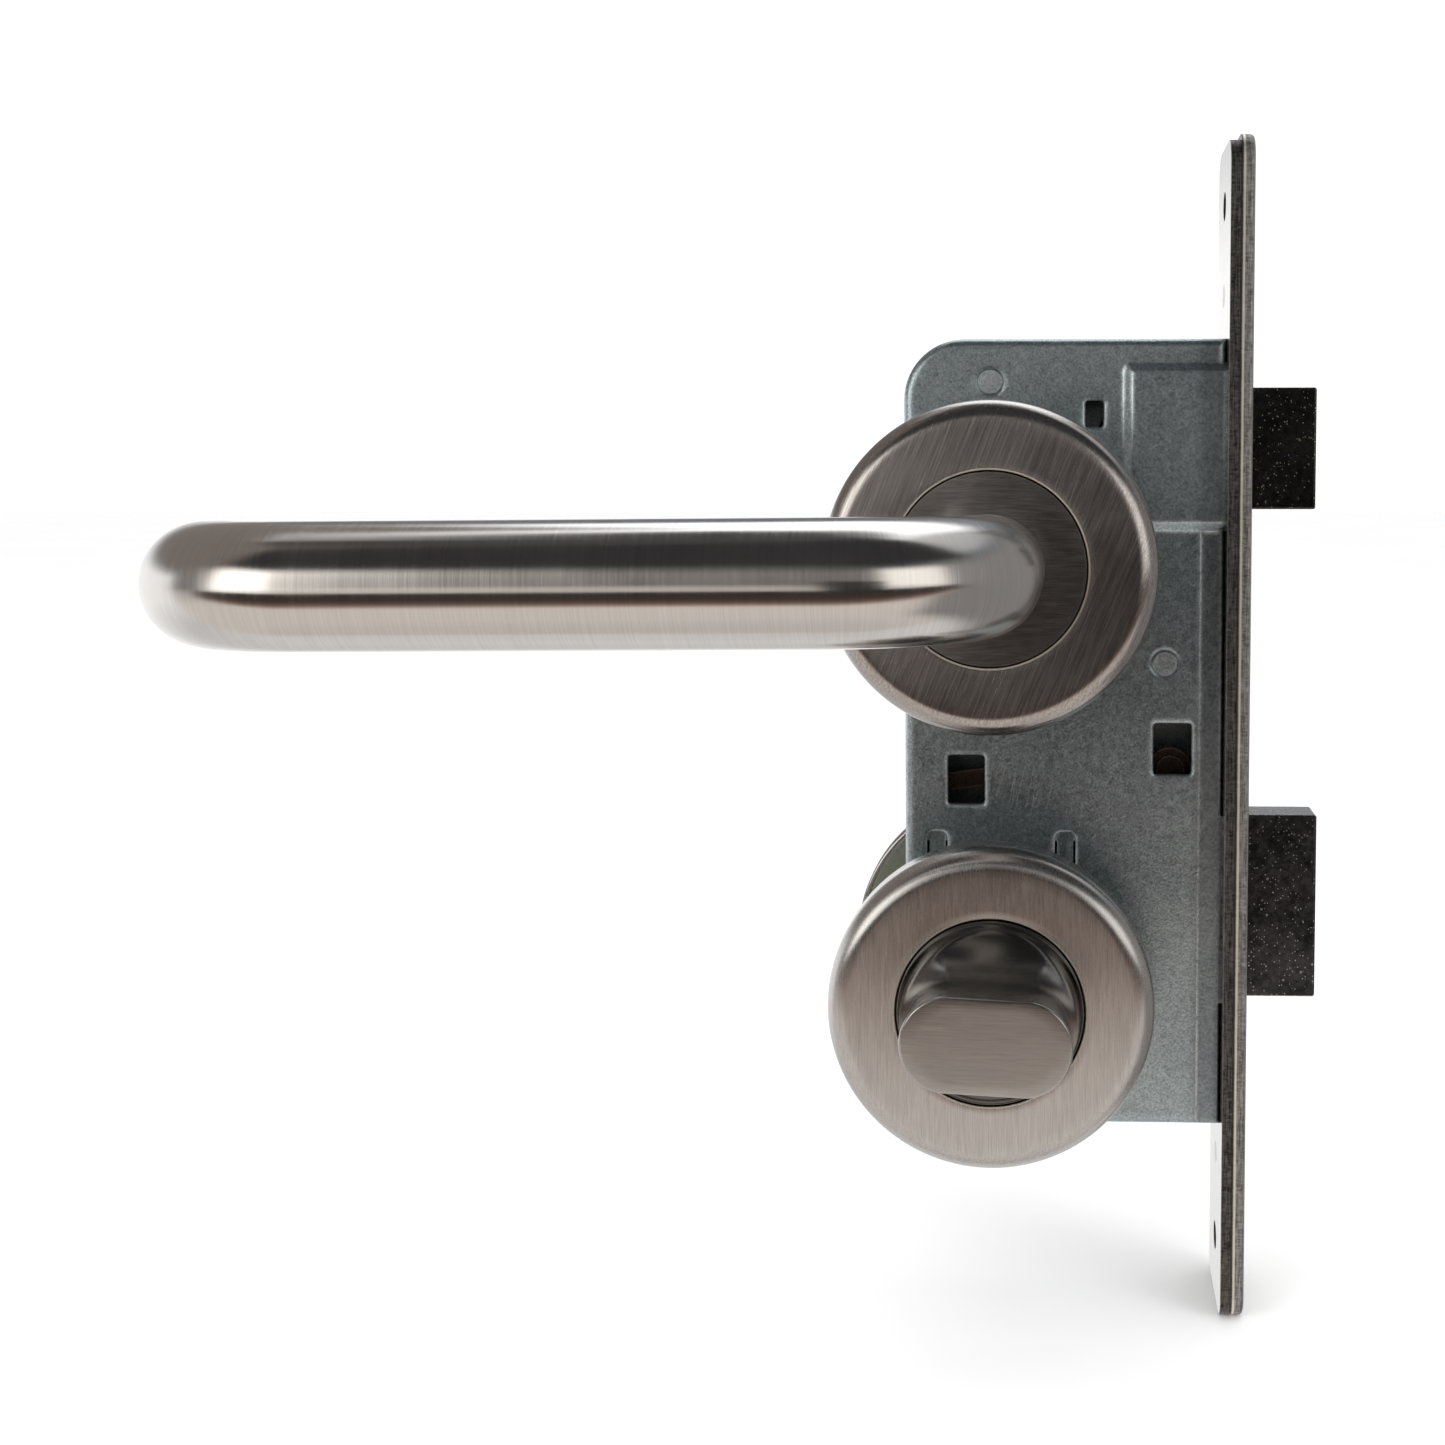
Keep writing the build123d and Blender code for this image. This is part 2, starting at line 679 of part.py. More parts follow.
# Follower return spring: coil round the barrel, one leg on the case, one on the peg
return_coil_end_y = disc_bottom_y - spring_wire_radius - seat_gap
return_coil_start_y = return_coil_end_y - return_spring_turns * return_spring_pitch
rim_inner_x = case_back_x + case_sheet
wall_leg_length = -backset - rim_inner_x - seat_gap
peg_leg_length = -peg_offset_z
coil_plane = Plane(
    origin=(-backset, return_coil_start_y, spindle_z),
    x_dir=(0, 0, 1),
    z_dir=(0, 1, 0),
)
with BuildPart() as follower_spring:
    wire_coil(coil_plane, return_coil_radius, return_spring_pitch, 2 * return_spring_turns, 90)
    wall_leg_start = (-backset, return_coil_start_y, spindle_z + return_coil_radius)
    with BuildSketch(Plane(origin=wall_leg_start, z_dir=(-1, 0, 0))):
        Circle(spring_wire_radius)
    extrude(amount=wall_leg_length)
    peg_leg_start = (-backset + return_coil_radius, return_coil_end_y, spindle_z)
    with BuildSketch(Plane(origin=peg_leg_start, z_dir=(0, 0, -1))):
        Circle(spring_wire_radius)
    extrude(amount=peg_leg_length)
save(follower_spring, "follower_spring")

# Turn hub: square bore and a short arm with a round tip
hub_arm_reach = deadbolt_throw / (2 * math.sin(turn_swing_half))
hub_arm_angle = 90 - turn_swing_angle / 2
tip_offset_x = hub_arm_reach * math.sin(turn_swing_half)
tip_offset_z = hub_arm_reach * math.cos(turn_swing_half)
with BuildPart() as turn_hub:
    with BuildSketch(turning_plane(turn_z)):
        ring_profile((
            (0, -half_case),
            (hub_journal_radius, -half_case),
            (hub_journal_radius, -disc_top_y),
            (hub_radius, -disc_top_y),
            (hub_radius, disc_top_y),
            (hub_journal_radius, disc_top_y),
            (hub_journal_radius, half_case),
            (0, half_case),
        ))
    revolve(axis=turn_axis)
    with BuildSketch(face_plane(hub_arm_thickness / 2)):
        with Locations(Location((-backset, turn_z), hub_arm_angle)):
            with Locations((hub_arm_reach / 2, 0)):
                Rectangle(hub_arm_reach, hub_arm_width)
        with Locations((-backset + tip_offset_x, turn_z + tip_offset_z)):
            Circle(hub_tip_radius)
    extrude(amount=hub_arm_thickness)
    with BuildSketch(face_plane(half_case)):
        with Locations((-backset, turn_z)):
            Rectangle(turn_square + 2 * socket_fit, turn_square + 2 * socket_fit)
    extrude(amount=case_thickness, mode=Mode.SUBTRACT)
save(turn_hub, "turn_hub")

# Deadbolt: block outside, stepped tail with the hub's notch and two detent notches
tail_notch_x = -backset + tip_offset_x
tail_notch_width = 2 * (hub_tip_radius + tail_notch_play)
tail_notch_top_z = turn_z + hub_arm_reach + hub_tip_radius + bolt_clearance
tail_bottom_z = turn_z + hub_radius + bolt_clearance
tail_top_z = deadbolt_z + deadbolt_height / 2
tail_rear_x = case_back_x + case_sheet + deadbolt_throw + bolt_clearance + socket_fit
deadbolt_shoulder_x = case_front_x - deadbolt_head_inside
detent_x = tail_notch_x
detent_travel_x = detent_x + deadbolt_throw
slot_radius = stud_radius + bolt_clearance
with BuildPart() as deadbolt:
    with BuildSketch(edge_plane(deadbolt_shoulder_x)):
        with Locations((0, deadbolt_z)):
            Rectangle(deadbolt_thickness, deadbolt_height)
    extrude(amount=deadbolt_throw - deadbolt_shoulder_x)
    fillet(deadbolt.faces().sort_by(Axis.X)[-1].edges(), deadbolt_edge_radius)
    with BuildSketch(face_plane(deadbolt_tail_thickness / 2)):
        with Locations(((tail_rear_x + deadbolt_shoulder_x) / 2, (tail_bottom_z + tail_top_z) / 2)):
            Rectangle(deadbolt_shoulder_x - tail_rear_x, tail_top_z - tail_bottom_z)
    extrude(amount=deadbolt_tail_thickness)
    with BuildSketch(face_plane(deadbolt_thickness)):
        with Locations((tail_notch_x, tail_bottom_z)):
            Rectangle(tail_notch_width, 2 * (tail_notch_top_z - tail_bottom_z))
        with Locations((-guide_stud_back + deadbolt_throw / 2, guide_stud_z)):
            SlotOverall(deadbolt_throw + 2 * slot_radius, 2 * slot_radius)
        for notch_x in (detent_x, detent_travel_x):
            with Locations((notch_x, tail_top_z)):
                RegularPolygon(detent_notch_depth, 4, major_radius=True, rotation=0)
    extrude(amount=2 * deadbolt_thickness, mode=Mode.SUBTRACT)
save(deadbolt, "deadbolt")

# Detent spring: stamped arm with an eye on its post and a tooth in the deadbolt's notch
arm_end_x = -backset - detent_arm_behind_turn
arm_middle_x = (arm_end_x - detent_post_back) / 2
arm_middle_z = detent_post_z - detent_arm_drop / 2 + detent_arm_bow
half_arm = detent_arm_height / 2
with BuildPart() as detent_spring:
    with BuildSketch(face_plane(detent_arm_thickness / 2)):
        with Locations((-detent_post_back, detent_post_z)):
            Circle(detent_eye_radius)
        with BuildLine():
            upper_edge = ThreePointArc(
                (-detent_post_back, detent_post_z + half_arm),
                (arm_middle_x, arm_middle_z + half_arm),
                (arm_end_x, detent_post_z - detent_arm_drop + half_arm),
            )
            lower_edge = ThreePointArc(
                (-detent_post_back, detent_post_z - half_arm),
                (arm_middle_x, arm_middle_z - half_arm),
                (arm_end_x, detent_post_z - detent_arm_drop - half_arm),
            )
            Line(upper_edge @ 0, lower_edge @ 0)
            Line(upper_edge @ 1, lower_edge @ 1)
        make_face()
        with BuildLine():
            Polyline(
                (detent_x - detent_tooth_width / 2, detent_post_z - half_arm),
                (detent_x + detent_tooth_width / 2, detent_post_z - half_arm),
                (detent_x, tail_top_z - detent_notch_depth + seat_gap),
                close=True,
            )
        make_face()
        with Locations((-detent_post_back, detent_post_z)):
            Circle(stud_radius + socket_fit, mode=Mode.SUBTRACT)
    extrude(amount=detent_arm_thickness)
save(detent_spring, "detent_spring")

# Lever hub, rose plate, bush and clip: distances out from the middle of the door
lever_face = door_face + lever_rose_height
turn_face = door_face + turn_rose_height
lever_disc_radius = lever_hole_radius - rose_gap
turn_disc_radius = turn_hole_radius - rose_gap
plate_radius = rose_radius - rose_wall - socket_fit
plate_top = door_face + rose_plate_thickness
lever_disc_back = lever_face - base_disc_thickness
turn_disc_back = turn_face - base_disc_thickness
bush_bore_radius = lever_journal_radius + running_fit
bush_outer_radius = bush_bore_radius + bush_wall
lever_boss_radius = bush_outer_radius + boss_wall
lever_boss_top = lever_disc_back - bush_flange_thickness - seat_gap
turn_bore_radius = turn_journal_radius + running_fit
turn_boss_radius = turn_bore_radius + boss_wall
turn_boss_top = turn_disc_back - seat_gap
clip_start = door_face + seat_gap
clip_recess = clip_start + circlip_thickness + seat_gap
socket_end = lever_face + hub_spigot_length - socket_end_wall
spindle_reach = socket_end - socket_end_wall
turn_socket_end = turn_face + turn_socket_depth
release_socket_end = turn_face + socket_end_wall


def rose_cover(height_z, axis, face, hole_radius):
    # Pressed shell: rim at the door, rounded edge, hole for the disc
    inner_face = face - rose_face
    inner_radius = rose_radius - rose_wall
    with BuildSketch(turning_plane(height_z)) as profile:
        with BuildLine():
            Polyline(
                (inner_radius, -door_face),
                (rose_radius, -door_face),
                (rose_radius, -face + rose_edge_radius),
            )
            RadiusArc(
                (rose_radius, -face + rose_edge_radius),
                (rose_radius - rose_edge_radius, -face),
                rose_edge_radius,
            )
            Polyline(
                (rose_radius - rose_edge_radius, -face),
                (hole_radius + rose_lip, -face),
                (hole_radius, -face + rose_lip),
                (hole_radius, -inner_face),
                (inner_radius - rose_edge_radius + rose_wall, -inner_face),
            )
            RadiusArc(
                (inner_radius - rose_edge_radius + rose_wall, -inner_face),
                (inner_radius, -inner_face + rose_edge_radius - rose_wall),
                -(rose_edge_radius - rose_wall),
            )
            Line((inner_radius, -inner_face + rose_edge_radius - rose_wall), (inner_radius, -door_face))
        make_face()
    revolve(profile.sketch, axis=axis)


def rose_plate(height_z, axis, boss_radius, boss_top, bore_radius, recess_radius):
    # Fixing plate inside the cover: boss for the bearing, recess for the clip, screw holes
    with BuildSketch(turning_plane(height_z)) as profile:
        ring_profile((
            (recess_radius, -door_face),
            (plate_radius, -door_face),
            (plate_radius, -plate_top),
            (boss_radius, -plate_top),
            (boss_radius, -boss_top),
            (bore_radius, -boss_top),
            (bore_radius, -clip_recess),
            (recess_radius, -clip_recess),
        ))
    revolve(profile.sketch, axis=axis)
    with BuildSketch(face_plane(-door_face)) as holes:
        with Locations((-backset, height_z)):
            with GridLocations(rose_screw_spacing, 0, 2, 1):
                Circle(rose_screw_radius)
    extrude(holes.sketch, amount=rose_plate_thickness, mode=Mode.SUBTRACT)


def circlip(height_z, journal_radius):
    # Split ring in a groove of the journal
    with BuildSketch(face_plane(-clip_start)) as ring:
        with Locations((-backset, height_z)):
            Circle(journal_radius - circlip_groove + circlip_width)
            Circle(journal_radius - circlip_groove + socket_fit, mode=Mode.SUBTRACT)
        with Locations((-backset, height_z - journal_radius)):
            Rectangle(circlip_width, 2 * circlip_width, mode=Mode.SUBTRACT)
    extrude(ring.sketch, amount=circlip_thickness)


def journal_groove(height_z, journal_radius):
    # Groove that the clip sits in
    with BuildSketch(face_plane(-clip_start + socket_fit)) as ring:
        with Locations((-backset, height_z)):
            Circle(journal_radius + circlip_width)
            Circle(journal_radius - circlip_groove, mode=Mode.SUBTRACT)
    extrude(ring.sketch, amount=circlip_thickness + 2 * socket_fit, mode=Mode.SUBTRACT)


lever_clip_recess_radius = lever_journal_radius + circlip_width
turn_clip_recess_radius = turn_journal_radius + circlip_width

with BuildPart() as lever_rose:
    rose_cover(spindle_z, lever_axis, lever_face, lever_hole_radius)

with BuildPart() as lever_rose_plate:
    rose_plate(
        spindle_z, lever_axis, lever_boss_radius, lever_boss_top, bush_outer_radius + socket_fit,
        lever_clip_recess_radius,
    )

with BuildPart() as lever_bush:
    with BuildSketch(turning_plane(spindle_z)):
        ring_profile((
            (bush_bore_radius, -clip_recess),
            (bush_outer_radius, -clip_recess),
            (bush_outer_radius, -lever_boss_top),
            (bush_flange_radius, -lever_boss_top),
            (bush_flange_radius, -lever_boss_top - bush_flange_thickness),
            (bush_bore_radius, -lever_boss_top - bush_flange_thickness),
        ))
    revolve(axis=lever_axis)

with BuildPart() as lever_circlip:
    circlip(spindle_z, lever_journal_radius)

# Lever hub: journal in the bush, flush disc in the rose, spigot up the tube
tube_bore_radius = tube_radius - tube_wall
grub_distance = lever_face + grub_height_on_neck
grip_distance = door_face + grip_centre_height
with BuildPart() as lever_hub:
    with BuildSketch(turning_plane(spindle_z)):
        ring_profile((
            (0, -door_face - seat_gap),
            (lever_journal_radius, -door_face - seat_gap),
            (lever_journal_radius, -lever_disc_back),
            (lever_disc_radius, -lever_disc_back),
            (lever_disc_radius, -lever_face),
            (tube_bore_radius - socket_fit, -lever_face),
            (tube_bore_radius - socket_fit, -lever_face - hub_spigot_length),
            (0, -lever_face - hub_spigot_length),
        ))
    revolve(axis=lever_axis)
    journal_groove(spindle_z, lever_journal_radius)
    with BuildSketch(face_plane(-door_face)):
        with Locations((-backset, spindle_z)):
            Rectangle(lever_square + 2 * socket_fit, lever_square + 2 * socket_fit)
    extrude(amount=socket_end - door_face, mode=Mode.SUBTRACT)
    with BuildSketch(Plane.XY.offset(spindle_z - lever_square / 2)):
        with Locations((-backset, -grub_distance)):
            Circle(grub_radius + socket_fit)
    extrude(amount=-2 * tube_radius, mode=Mode.SUBTRACT)

# Grub screw under the neck, bearing on the spindle
with BuildPart() as lever_grub_screw:
    with BuildSketch(Plane.XY.offset(spindle_z - lever_square / 2 - socket_fit)):
        with Locations((-backset, -grub_distance)):
            Circle(grub_radius)
    extrude(amount=-(tube_radius - lever_square / 2 - seat_gap))
    with BuildSketch(Plane.XY.offset(spindle_z - tube_radius)):
        with Locations((-backset, -grub_distance)):
            RegularPolygon(grub_hex_radius, 6)
    extrude(amount=2 * grub_hex_radius, mode=Mode.SUBTRACT)


def lever_tube(droop):
    # Bent tube: neck, grip and return leg, turned down round the spindle by its droop
    tube_plane = Plane(
        origin=(-backset, 0, spindle_z),
        x_dir=(math.cos(math.radians(droop)), 0, math.sin(math.radians(droop))),
        z_dir=(-math.sin(math.radians(droop)), 0, math.cos(math.radians(droop))),
    )
    with BuildLine(tube_plane) as centre_line:
        FilletPolyline(
            (0, -lever_face),
            (0, -grip_distance),
            (-lever_reach, -grip_distance),
            (-lever_reach, -grip_distance + return_length),
            radius=lever_bend_radius,
        )
    with BuildSketch(Plane(origin=centre_line.line @ 0, z_dir=centre_line.line % 0)) as section:
        Circle(tube_radius)
        Circle(tube_bore_radius, mode=Mode.SUBTRACT)
    sweep(section.sketch, path=centre_line.line)
    with BuildSketch(Plane.XY.offset(spindle_z)) as grub_hole:
        with Locations((-backset, -grub_distance)):
            Circle(grub_radius + seat_gap)
    extrude(grub_hole.sketch, amount=-2 * tube_radius, mode=Mode.SUBTRACT)


def lever_end_cap(droop):
    # Plug that closes the end of the return leg
    cap_offset = lever_reach * math.cos(math.radians(droop))
    cap_fall = lever_reach * math.sin(math.radians(droop))
    with BuildSketch(face_plane(-grip_distance + return_length)) as plug:
        with Locations((-backset - cap_offset, spindle_z - cap_fall)):
            Circle(tube_bore_radius - socket_fit)
    extrude(plug.sketch, amount=end_cap_thickness)


with BuildPart() as lever_tube_level:
    lever_tube(0)

with BuildPart() as lever_tube_drooped:
    lever_tube(outside_lever_droop_angle)

with BuildPart() as end_cap_level:
    lever_end_cap(0)

with BuildPart() as end_cap_drooped:
    lever_end_cap(outside_lever_droop_angle)

# Turn rose with its small prising notch in the rim
with BuildPart() as turn_rose:
    rose_cover(turn_z, turn_axis, turn_face, turn_hole_radius)
    with BuildSketch(face_plane(-door_face)):
        with Locations((-backset, turn_z + rose_radius)):
            Rectangle(rose_notch_width, 4 * rose_wall)
    extrude(amount=rose_notch_depth, mode=Mode.SUBTRACT)

with BuildPart() as turn_rose_plate:
    rose_plate(
        turn_z, turn_axis, turn_boss_radius, turn_boss_top, turn_bore_radius, turn_clip_recess_radius,
    )

with BuildPart() as turn_circlip:
    circlip(turn_z, turn_journal_radius)


def turn_body():
    # Journal and flush disc that thumbturn and emergency release share
    with BuildSketch(turning_plane(turn_z)) as profile:
        ring_profile((
            (0, -door_face - seat_gap),
            (turn_journal_radius, -door_face - seat_gap),
            (turn_journal_radius, -turn_disc_back),
            (turn_disc_radius, -turn_disc_back),
            (turn_disc_radius, -turn_face),
            (0, -turn_face),
        ))
    revolve(profile.sketch, axis=turn_axis)
    journal_groove(turn_z, turn_journal_radius)


def turn_socket(socket_end_distance):
    # Square socket for the turn spindle
    with BuildSketch(face_plane(-door_face)) as socket:
        with Locations((-backset, turn_z)):
            Rectangle(turn_square + 2 * socket_fit, turn_square + 2 * socket_fit)
    extrude(socket.sketch, amount=socket_end_distance - door_face, mode=Mode.SUBTRACT)


# Thumbturn: upright grip with rounded ends on the flush disc
with BuildPart() as thumbturn:
    turn_body()
    with BuildSketch(Plane(
        origin=(-backset, -turn_face, turn_z),
        x_dir=(math.cos(math.radians(turn_tilt_angle)), 0, -math.sin(math.radians(turn_tilt_angle))),
        z_dir=(0, -1, 0),
    )):
        with BuildLine():
            top_flat = Line((-turn_flat / 2, turn_height / 2), (turn_flat / 2, turn_height / 2))
            ThreePointArc(top_flat @ 1, (turn_width / 2, 0), (turn_flat / 2, -turn_height / 2))
            bottom_flat = Line((turn_flat / 2, -turn_height / 2), (-turn_flat / 2, -turn_height / 2))
            ThreePointArc(bottom_flat @ 1, (-turn_width / 2, 0), top_flat @ 0)
        make_face()
    extrude(amount=turn_projection)
    fillet(thumbturn.faces().sort_by(Axis.Y)[0].edges(), turn_edge_radius)
    turn_socket(turn_socket_end)

# Emergency release: domed boss with a coin slot
with BuildPart() as emergency_release:
    turn_body()
    with BuildSketch(face_plane(-turn_face)):
        with Locations((-backset, turn_z)):
            Circle(release_boss_radius)
    extrude(amount=release_boss_height, taper=release_boss_taper)
    fillet(emergency_release.faces().sort_by(Axis.Y)[0].edges(), turn_edge_radius)
    with BuildSketch(face_plane(-turn_face - release_boss_height)):
        with Locations((-backset, turn_z)):
            Rectangle(coin_slot_length, coin_slot_width)
    extrude(amount=-coin_slot_depth, mode=Mode.SUBTRACT)
    turn_socket(release_socket_end)

# Pieces of the inside face, and the same pieces mirrored to the outside face
inside_pieces = {
    "lever_rose": lever_rose,
    "lever_rose_plate": lever_rose_plate,
    "lever_bush": lever_bush,
    "lever_circlip": lever_circlip,
    "lever_hub": lever_hub,
    "lever_grub_screw": lever_grub_screw,
    "lever_tube": lever_tube_level,
    "lever_end_cap": end_cap_level,
    "turn_rose": turn_rose,
    "turn_rose_plate": turn_rose_plate,
    "turn_circlip": turn_circlip,
}
outside_originals = {
    **inside_pieces,
    "lever_tube": lever_tube_drooped,
    "lever_end_cap": end_cap_drooped,
}
for name, piece in inside_pieces.items():
    save(piece, f"{name}_inside")
for name, piece in outside_originals.items():
    with BuildPart() as outside_piece:
        mirror(piece.part, about=Plane.XZ)
    save(outside_piece, f"{name}_outside")
save(thumbturn, "thumbturn")
with BuildPart() as release_outside:
    mirror(emergency_release.part, about=Plane.XZ)
save(release_outside, "emergency_release")

# Lever spindle: square bar through both levers and the follower
with BuildPart() as lever_spindle:
    with BuildSketch(face_plane(spindle_reach)):
        with Locations((-backset, spindle_z)):
            Rectangle(lever_square, lever_square)
    extrude(amount=2 * spindle_reach)
    chamfer(lever_spindle.faces().sort_by(Axis.Y)[0].edges(), socket_end_wall / 2)
    chamfer(lever_spindle.faces().sort_by(Axis.Y)[-1].edges(), socket_end_wall / 2)
save(lever_spindle, "lever_spindle")

# Turn spindle: thinner square bar from the thumbturn to the emergency release
turn_spindle_inside = turn_socket_end - socket_fit
turn_spindle_outside = release_socket_end - socket_fit
with BuildPart() as turn_spindle:
    with BuildSketch(face_plane(turn_spindle_outside)):
        with Locations((-backset, turn_z)):
            Rectangle(turn_square, turn_square)
    extrude(amount=turn_spindle_inside + turn_spindle_outside)
save(turn_spindle, "turn_spindle")
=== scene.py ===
import json
import math

import bmesh
import bpy
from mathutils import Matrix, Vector


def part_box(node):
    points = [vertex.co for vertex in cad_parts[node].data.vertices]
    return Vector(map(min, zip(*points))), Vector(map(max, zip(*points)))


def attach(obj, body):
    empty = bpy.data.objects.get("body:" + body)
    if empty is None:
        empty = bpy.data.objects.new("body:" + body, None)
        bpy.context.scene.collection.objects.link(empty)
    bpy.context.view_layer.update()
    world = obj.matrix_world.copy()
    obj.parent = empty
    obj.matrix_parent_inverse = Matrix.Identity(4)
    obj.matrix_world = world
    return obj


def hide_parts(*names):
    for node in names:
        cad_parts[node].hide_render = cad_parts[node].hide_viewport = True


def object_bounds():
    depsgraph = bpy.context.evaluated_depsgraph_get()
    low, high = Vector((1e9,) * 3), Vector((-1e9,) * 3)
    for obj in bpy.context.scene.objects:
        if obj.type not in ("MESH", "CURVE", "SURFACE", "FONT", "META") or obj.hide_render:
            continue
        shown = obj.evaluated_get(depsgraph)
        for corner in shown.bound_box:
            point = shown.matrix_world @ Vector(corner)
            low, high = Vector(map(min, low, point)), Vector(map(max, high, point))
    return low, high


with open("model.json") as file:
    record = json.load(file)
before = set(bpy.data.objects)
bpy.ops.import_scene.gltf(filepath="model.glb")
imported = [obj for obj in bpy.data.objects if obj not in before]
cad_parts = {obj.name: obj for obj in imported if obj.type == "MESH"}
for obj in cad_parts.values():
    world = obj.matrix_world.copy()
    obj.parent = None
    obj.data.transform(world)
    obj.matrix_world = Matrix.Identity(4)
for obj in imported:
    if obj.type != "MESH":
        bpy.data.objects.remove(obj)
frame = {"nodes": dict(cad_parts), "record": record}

# Looks of a bathroom mortise lock: pressed zinc-plated case, satin levers and roses, a thumbturn.
# Metres. Origin: middle of the cover plate's front face. +X out of the door's edge, -Y the
# inside face of the door, +Z up.

MM = 0.001
cad_low, cad_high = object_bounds()
plates_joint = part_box("forend")[1].x    # where forend and cover plate meet

# Sizes read off the frame
spindle_x = sum(c.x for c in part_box("lever_spindle")) / 2
spindle_z = sum(c.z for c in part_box("lever_spindle")) / 2
turn_z = sum(c.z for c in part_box("turn_spindle")) / 2
door_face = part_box("lever_rose_outside")[0].y
lever_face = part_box("lever_rose_outside")[1].y
turn_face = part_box("turn_rose_outside")[1].y

# Lever of bent tube
tube_radius = 8.5 * MM
tube_bore_radius = 7.0 * MM
grip_distance = door_face + 55.4 * MM
lever_reach = 107.2 * MM
lever_bend_radius = 20.0 * MM
return_end = grip_distance - 21.0 * MM
outside_droop = math.radians(6.2)
tube_rim_round = 0.35 * MM
inside_droop = math.radians(0.48)
neck_rise = math.tan(math.radians(1.0))

# Roses and thumbturn
rose_radius = 26.0 * MM
rose_edge = 3.4 * MM
rose_wall = 1.0 * MM
lip_round = 0.22 * MM
lever_hole_radius = 15.1 * MM
turn_hole_radius = 15.0 * MM
turn_disc_radius = 14.8 * MM
turn_half_width = 13.0 * MM
turn_half_height = 7.35 * MM
turn_half_flat = 6.4 * MM
turn_projection = 17.2 * MM
turn_tilt = math.radians(3.0)
turn_scoop = 11.0 * MM
turn_edge_round = 0.5 * MM
turn_disc_thickness = 2.0 * MM
turn_back_radius = turn_disc_radius * 0.46
turn_scoop_share = 0.92    # how much of a quarter circle's depth the hollows have

# Places of painted shade, painted shadow lines and painted highlight lines
case_shade_start = -9.6 * MM
case_shade_fade = 2.2 * MM
turn_shade_reach = 14.0 * MM
hole_line_half, hole_line_core = 0.17 * MM, 0.07 * MM
joint_half, joint_core = 0.22 * MM, 0.10 * MM
lip_middle = plates_joint + 0.42 * MM
lip_half, lip_core = 0.24 * MM, 0.12 * MM


# ---- Small helpers for node trees ----

def add(tree, kind, inputs=None, **settings):
    """A node of that kind with its settings; an input is a number, a colour or another node's socket."""
    made = tree.nodes.new(kind)
    for name, value in settings.items():
        setattr(made, name, value)
    for name, value in (inputs or {}).items():
        if isinstance(value, bpy.types.NodeSocket):
            tree.links.new(value, made.inputs[name])
        else:
            made.inputs[name].default_value = value
    return made


def calc(tree, operation, *values, clamp=False):
    """The result of one Math node."""
    made = add(tree, "ShaderNodeMath", {i: v for i, v in enumerate(values)}, operation=operation)
    made.use_clamp = clamp
    return made.outputs[0]


def product(tree, first, second, clamp=False):
    """Two values multiplied."""
    return calc(tree, "MULTIPLY", first, second, clamp=clamp)


def total(tree, first, second, clamp=False):
    """Two values added."""
    return calc(tree, "ADD", first, second, clamp=clamp)


def distance_between(tree, first, second):
    """How far one value is from another, never negative."""
    return calc(tree, "ABSOLUTE", calc(tree, "SUBTRACT", first, second))


def component(tree, vector, axis):
    """One of a vector's three numbers."""
    return add(tree, "ShaderNodeSeparateXYZ", {"Vector": vector}).outputs[axis]


def vector_calc(tree, operation, *values):
    """The result of one Vector Math node."""
    made = add(tree, "ShaderNodeVectorMath", {i: v for i, v in enumerate(values)}, operation=operation)
    return made.outputs["Value" if operation in ("DOT_PRODUCT", "LENGTH") else "Vector"]


def spread(tree, value, low, high, to_low=0.0, to_high=1.0):
    """value carried from low..high to to_low..to_high, and held at both ends."""
    made = add(tree, "ShaderNodeMapRange", {
        "Value": value, "From Min": low, "From Max": high, "To Min": to_low, "To Max": to_high})
    return made.outputs["Result"]


def blend_colour(tree, share, first, second):
    """The second colour laid over the first by a share; a colour is three numbers or a socket."""
    first, second = (
        (*colour, 1.0) if isinstance(colour, tuple) else colour for colour in (first, second))
    made = add(tree, "ShaderNodeMix", data_type="RGBA")
    for index, value in ((0, share), (6, first), (7, second)):
        if isinstance(value, bpy.types.NodeSocket):
            tree.links.new(value, made.inputs[index])
        else:
            made.inputs[index].default_value = value
    return made.outputs[2]


def noise(tree, coordinates, scale, detail=2.0, roughness=0.5, distortion=0.0):
    """A Noise texture's value."""
    made = add(tree, "ShaderNodeTexNoise", {
        "Vector": coordinates, "Scale": scale, "Detail": detail, "Roughness": roughness,
        "Distortion": distortion})
    return made.outputs["Fac"]


def effect(name, inputs, outputs):
    """An empty shader node group with named sockets."""
    tree = bpy.data.node_groups.new(name, "ShaderNodeTree")
    for label, kind, value in inputs:
        socket = tree.interface.new_socket(label, in_out="INPUT", socket_type=kind)
        if value is not None:
            socket.default_value = value
    for label, kind in outputs:
        tree.interface.new_socket(label, in_out="OUTPUT", socket_type=kind)
    return tree, tree.nodes.new("NodeGroupInput").outputs, tree.nodes.new("NodeGroupOutput").inputs


def use(tree, group, **inputs):
    """A node group placed in a material, its inputs given by name with _ for a space."""
    made = tree.nodes.new("ShaderNodeGroup")
    made.node_tree = group
    for label, value in inputs.items():
        socket = made.inputs[label.replace("_", " ")]
        if isinstance(value, bpy.types.NodeSocket):
            tree.links.new(value, socket)
        else:
            socket.default_value = value
    return made.outputs


FLOAT, VECTOR = "NodeSocketFloat", "NodeSocketVector"

# ---- Effects that several finishes share ----

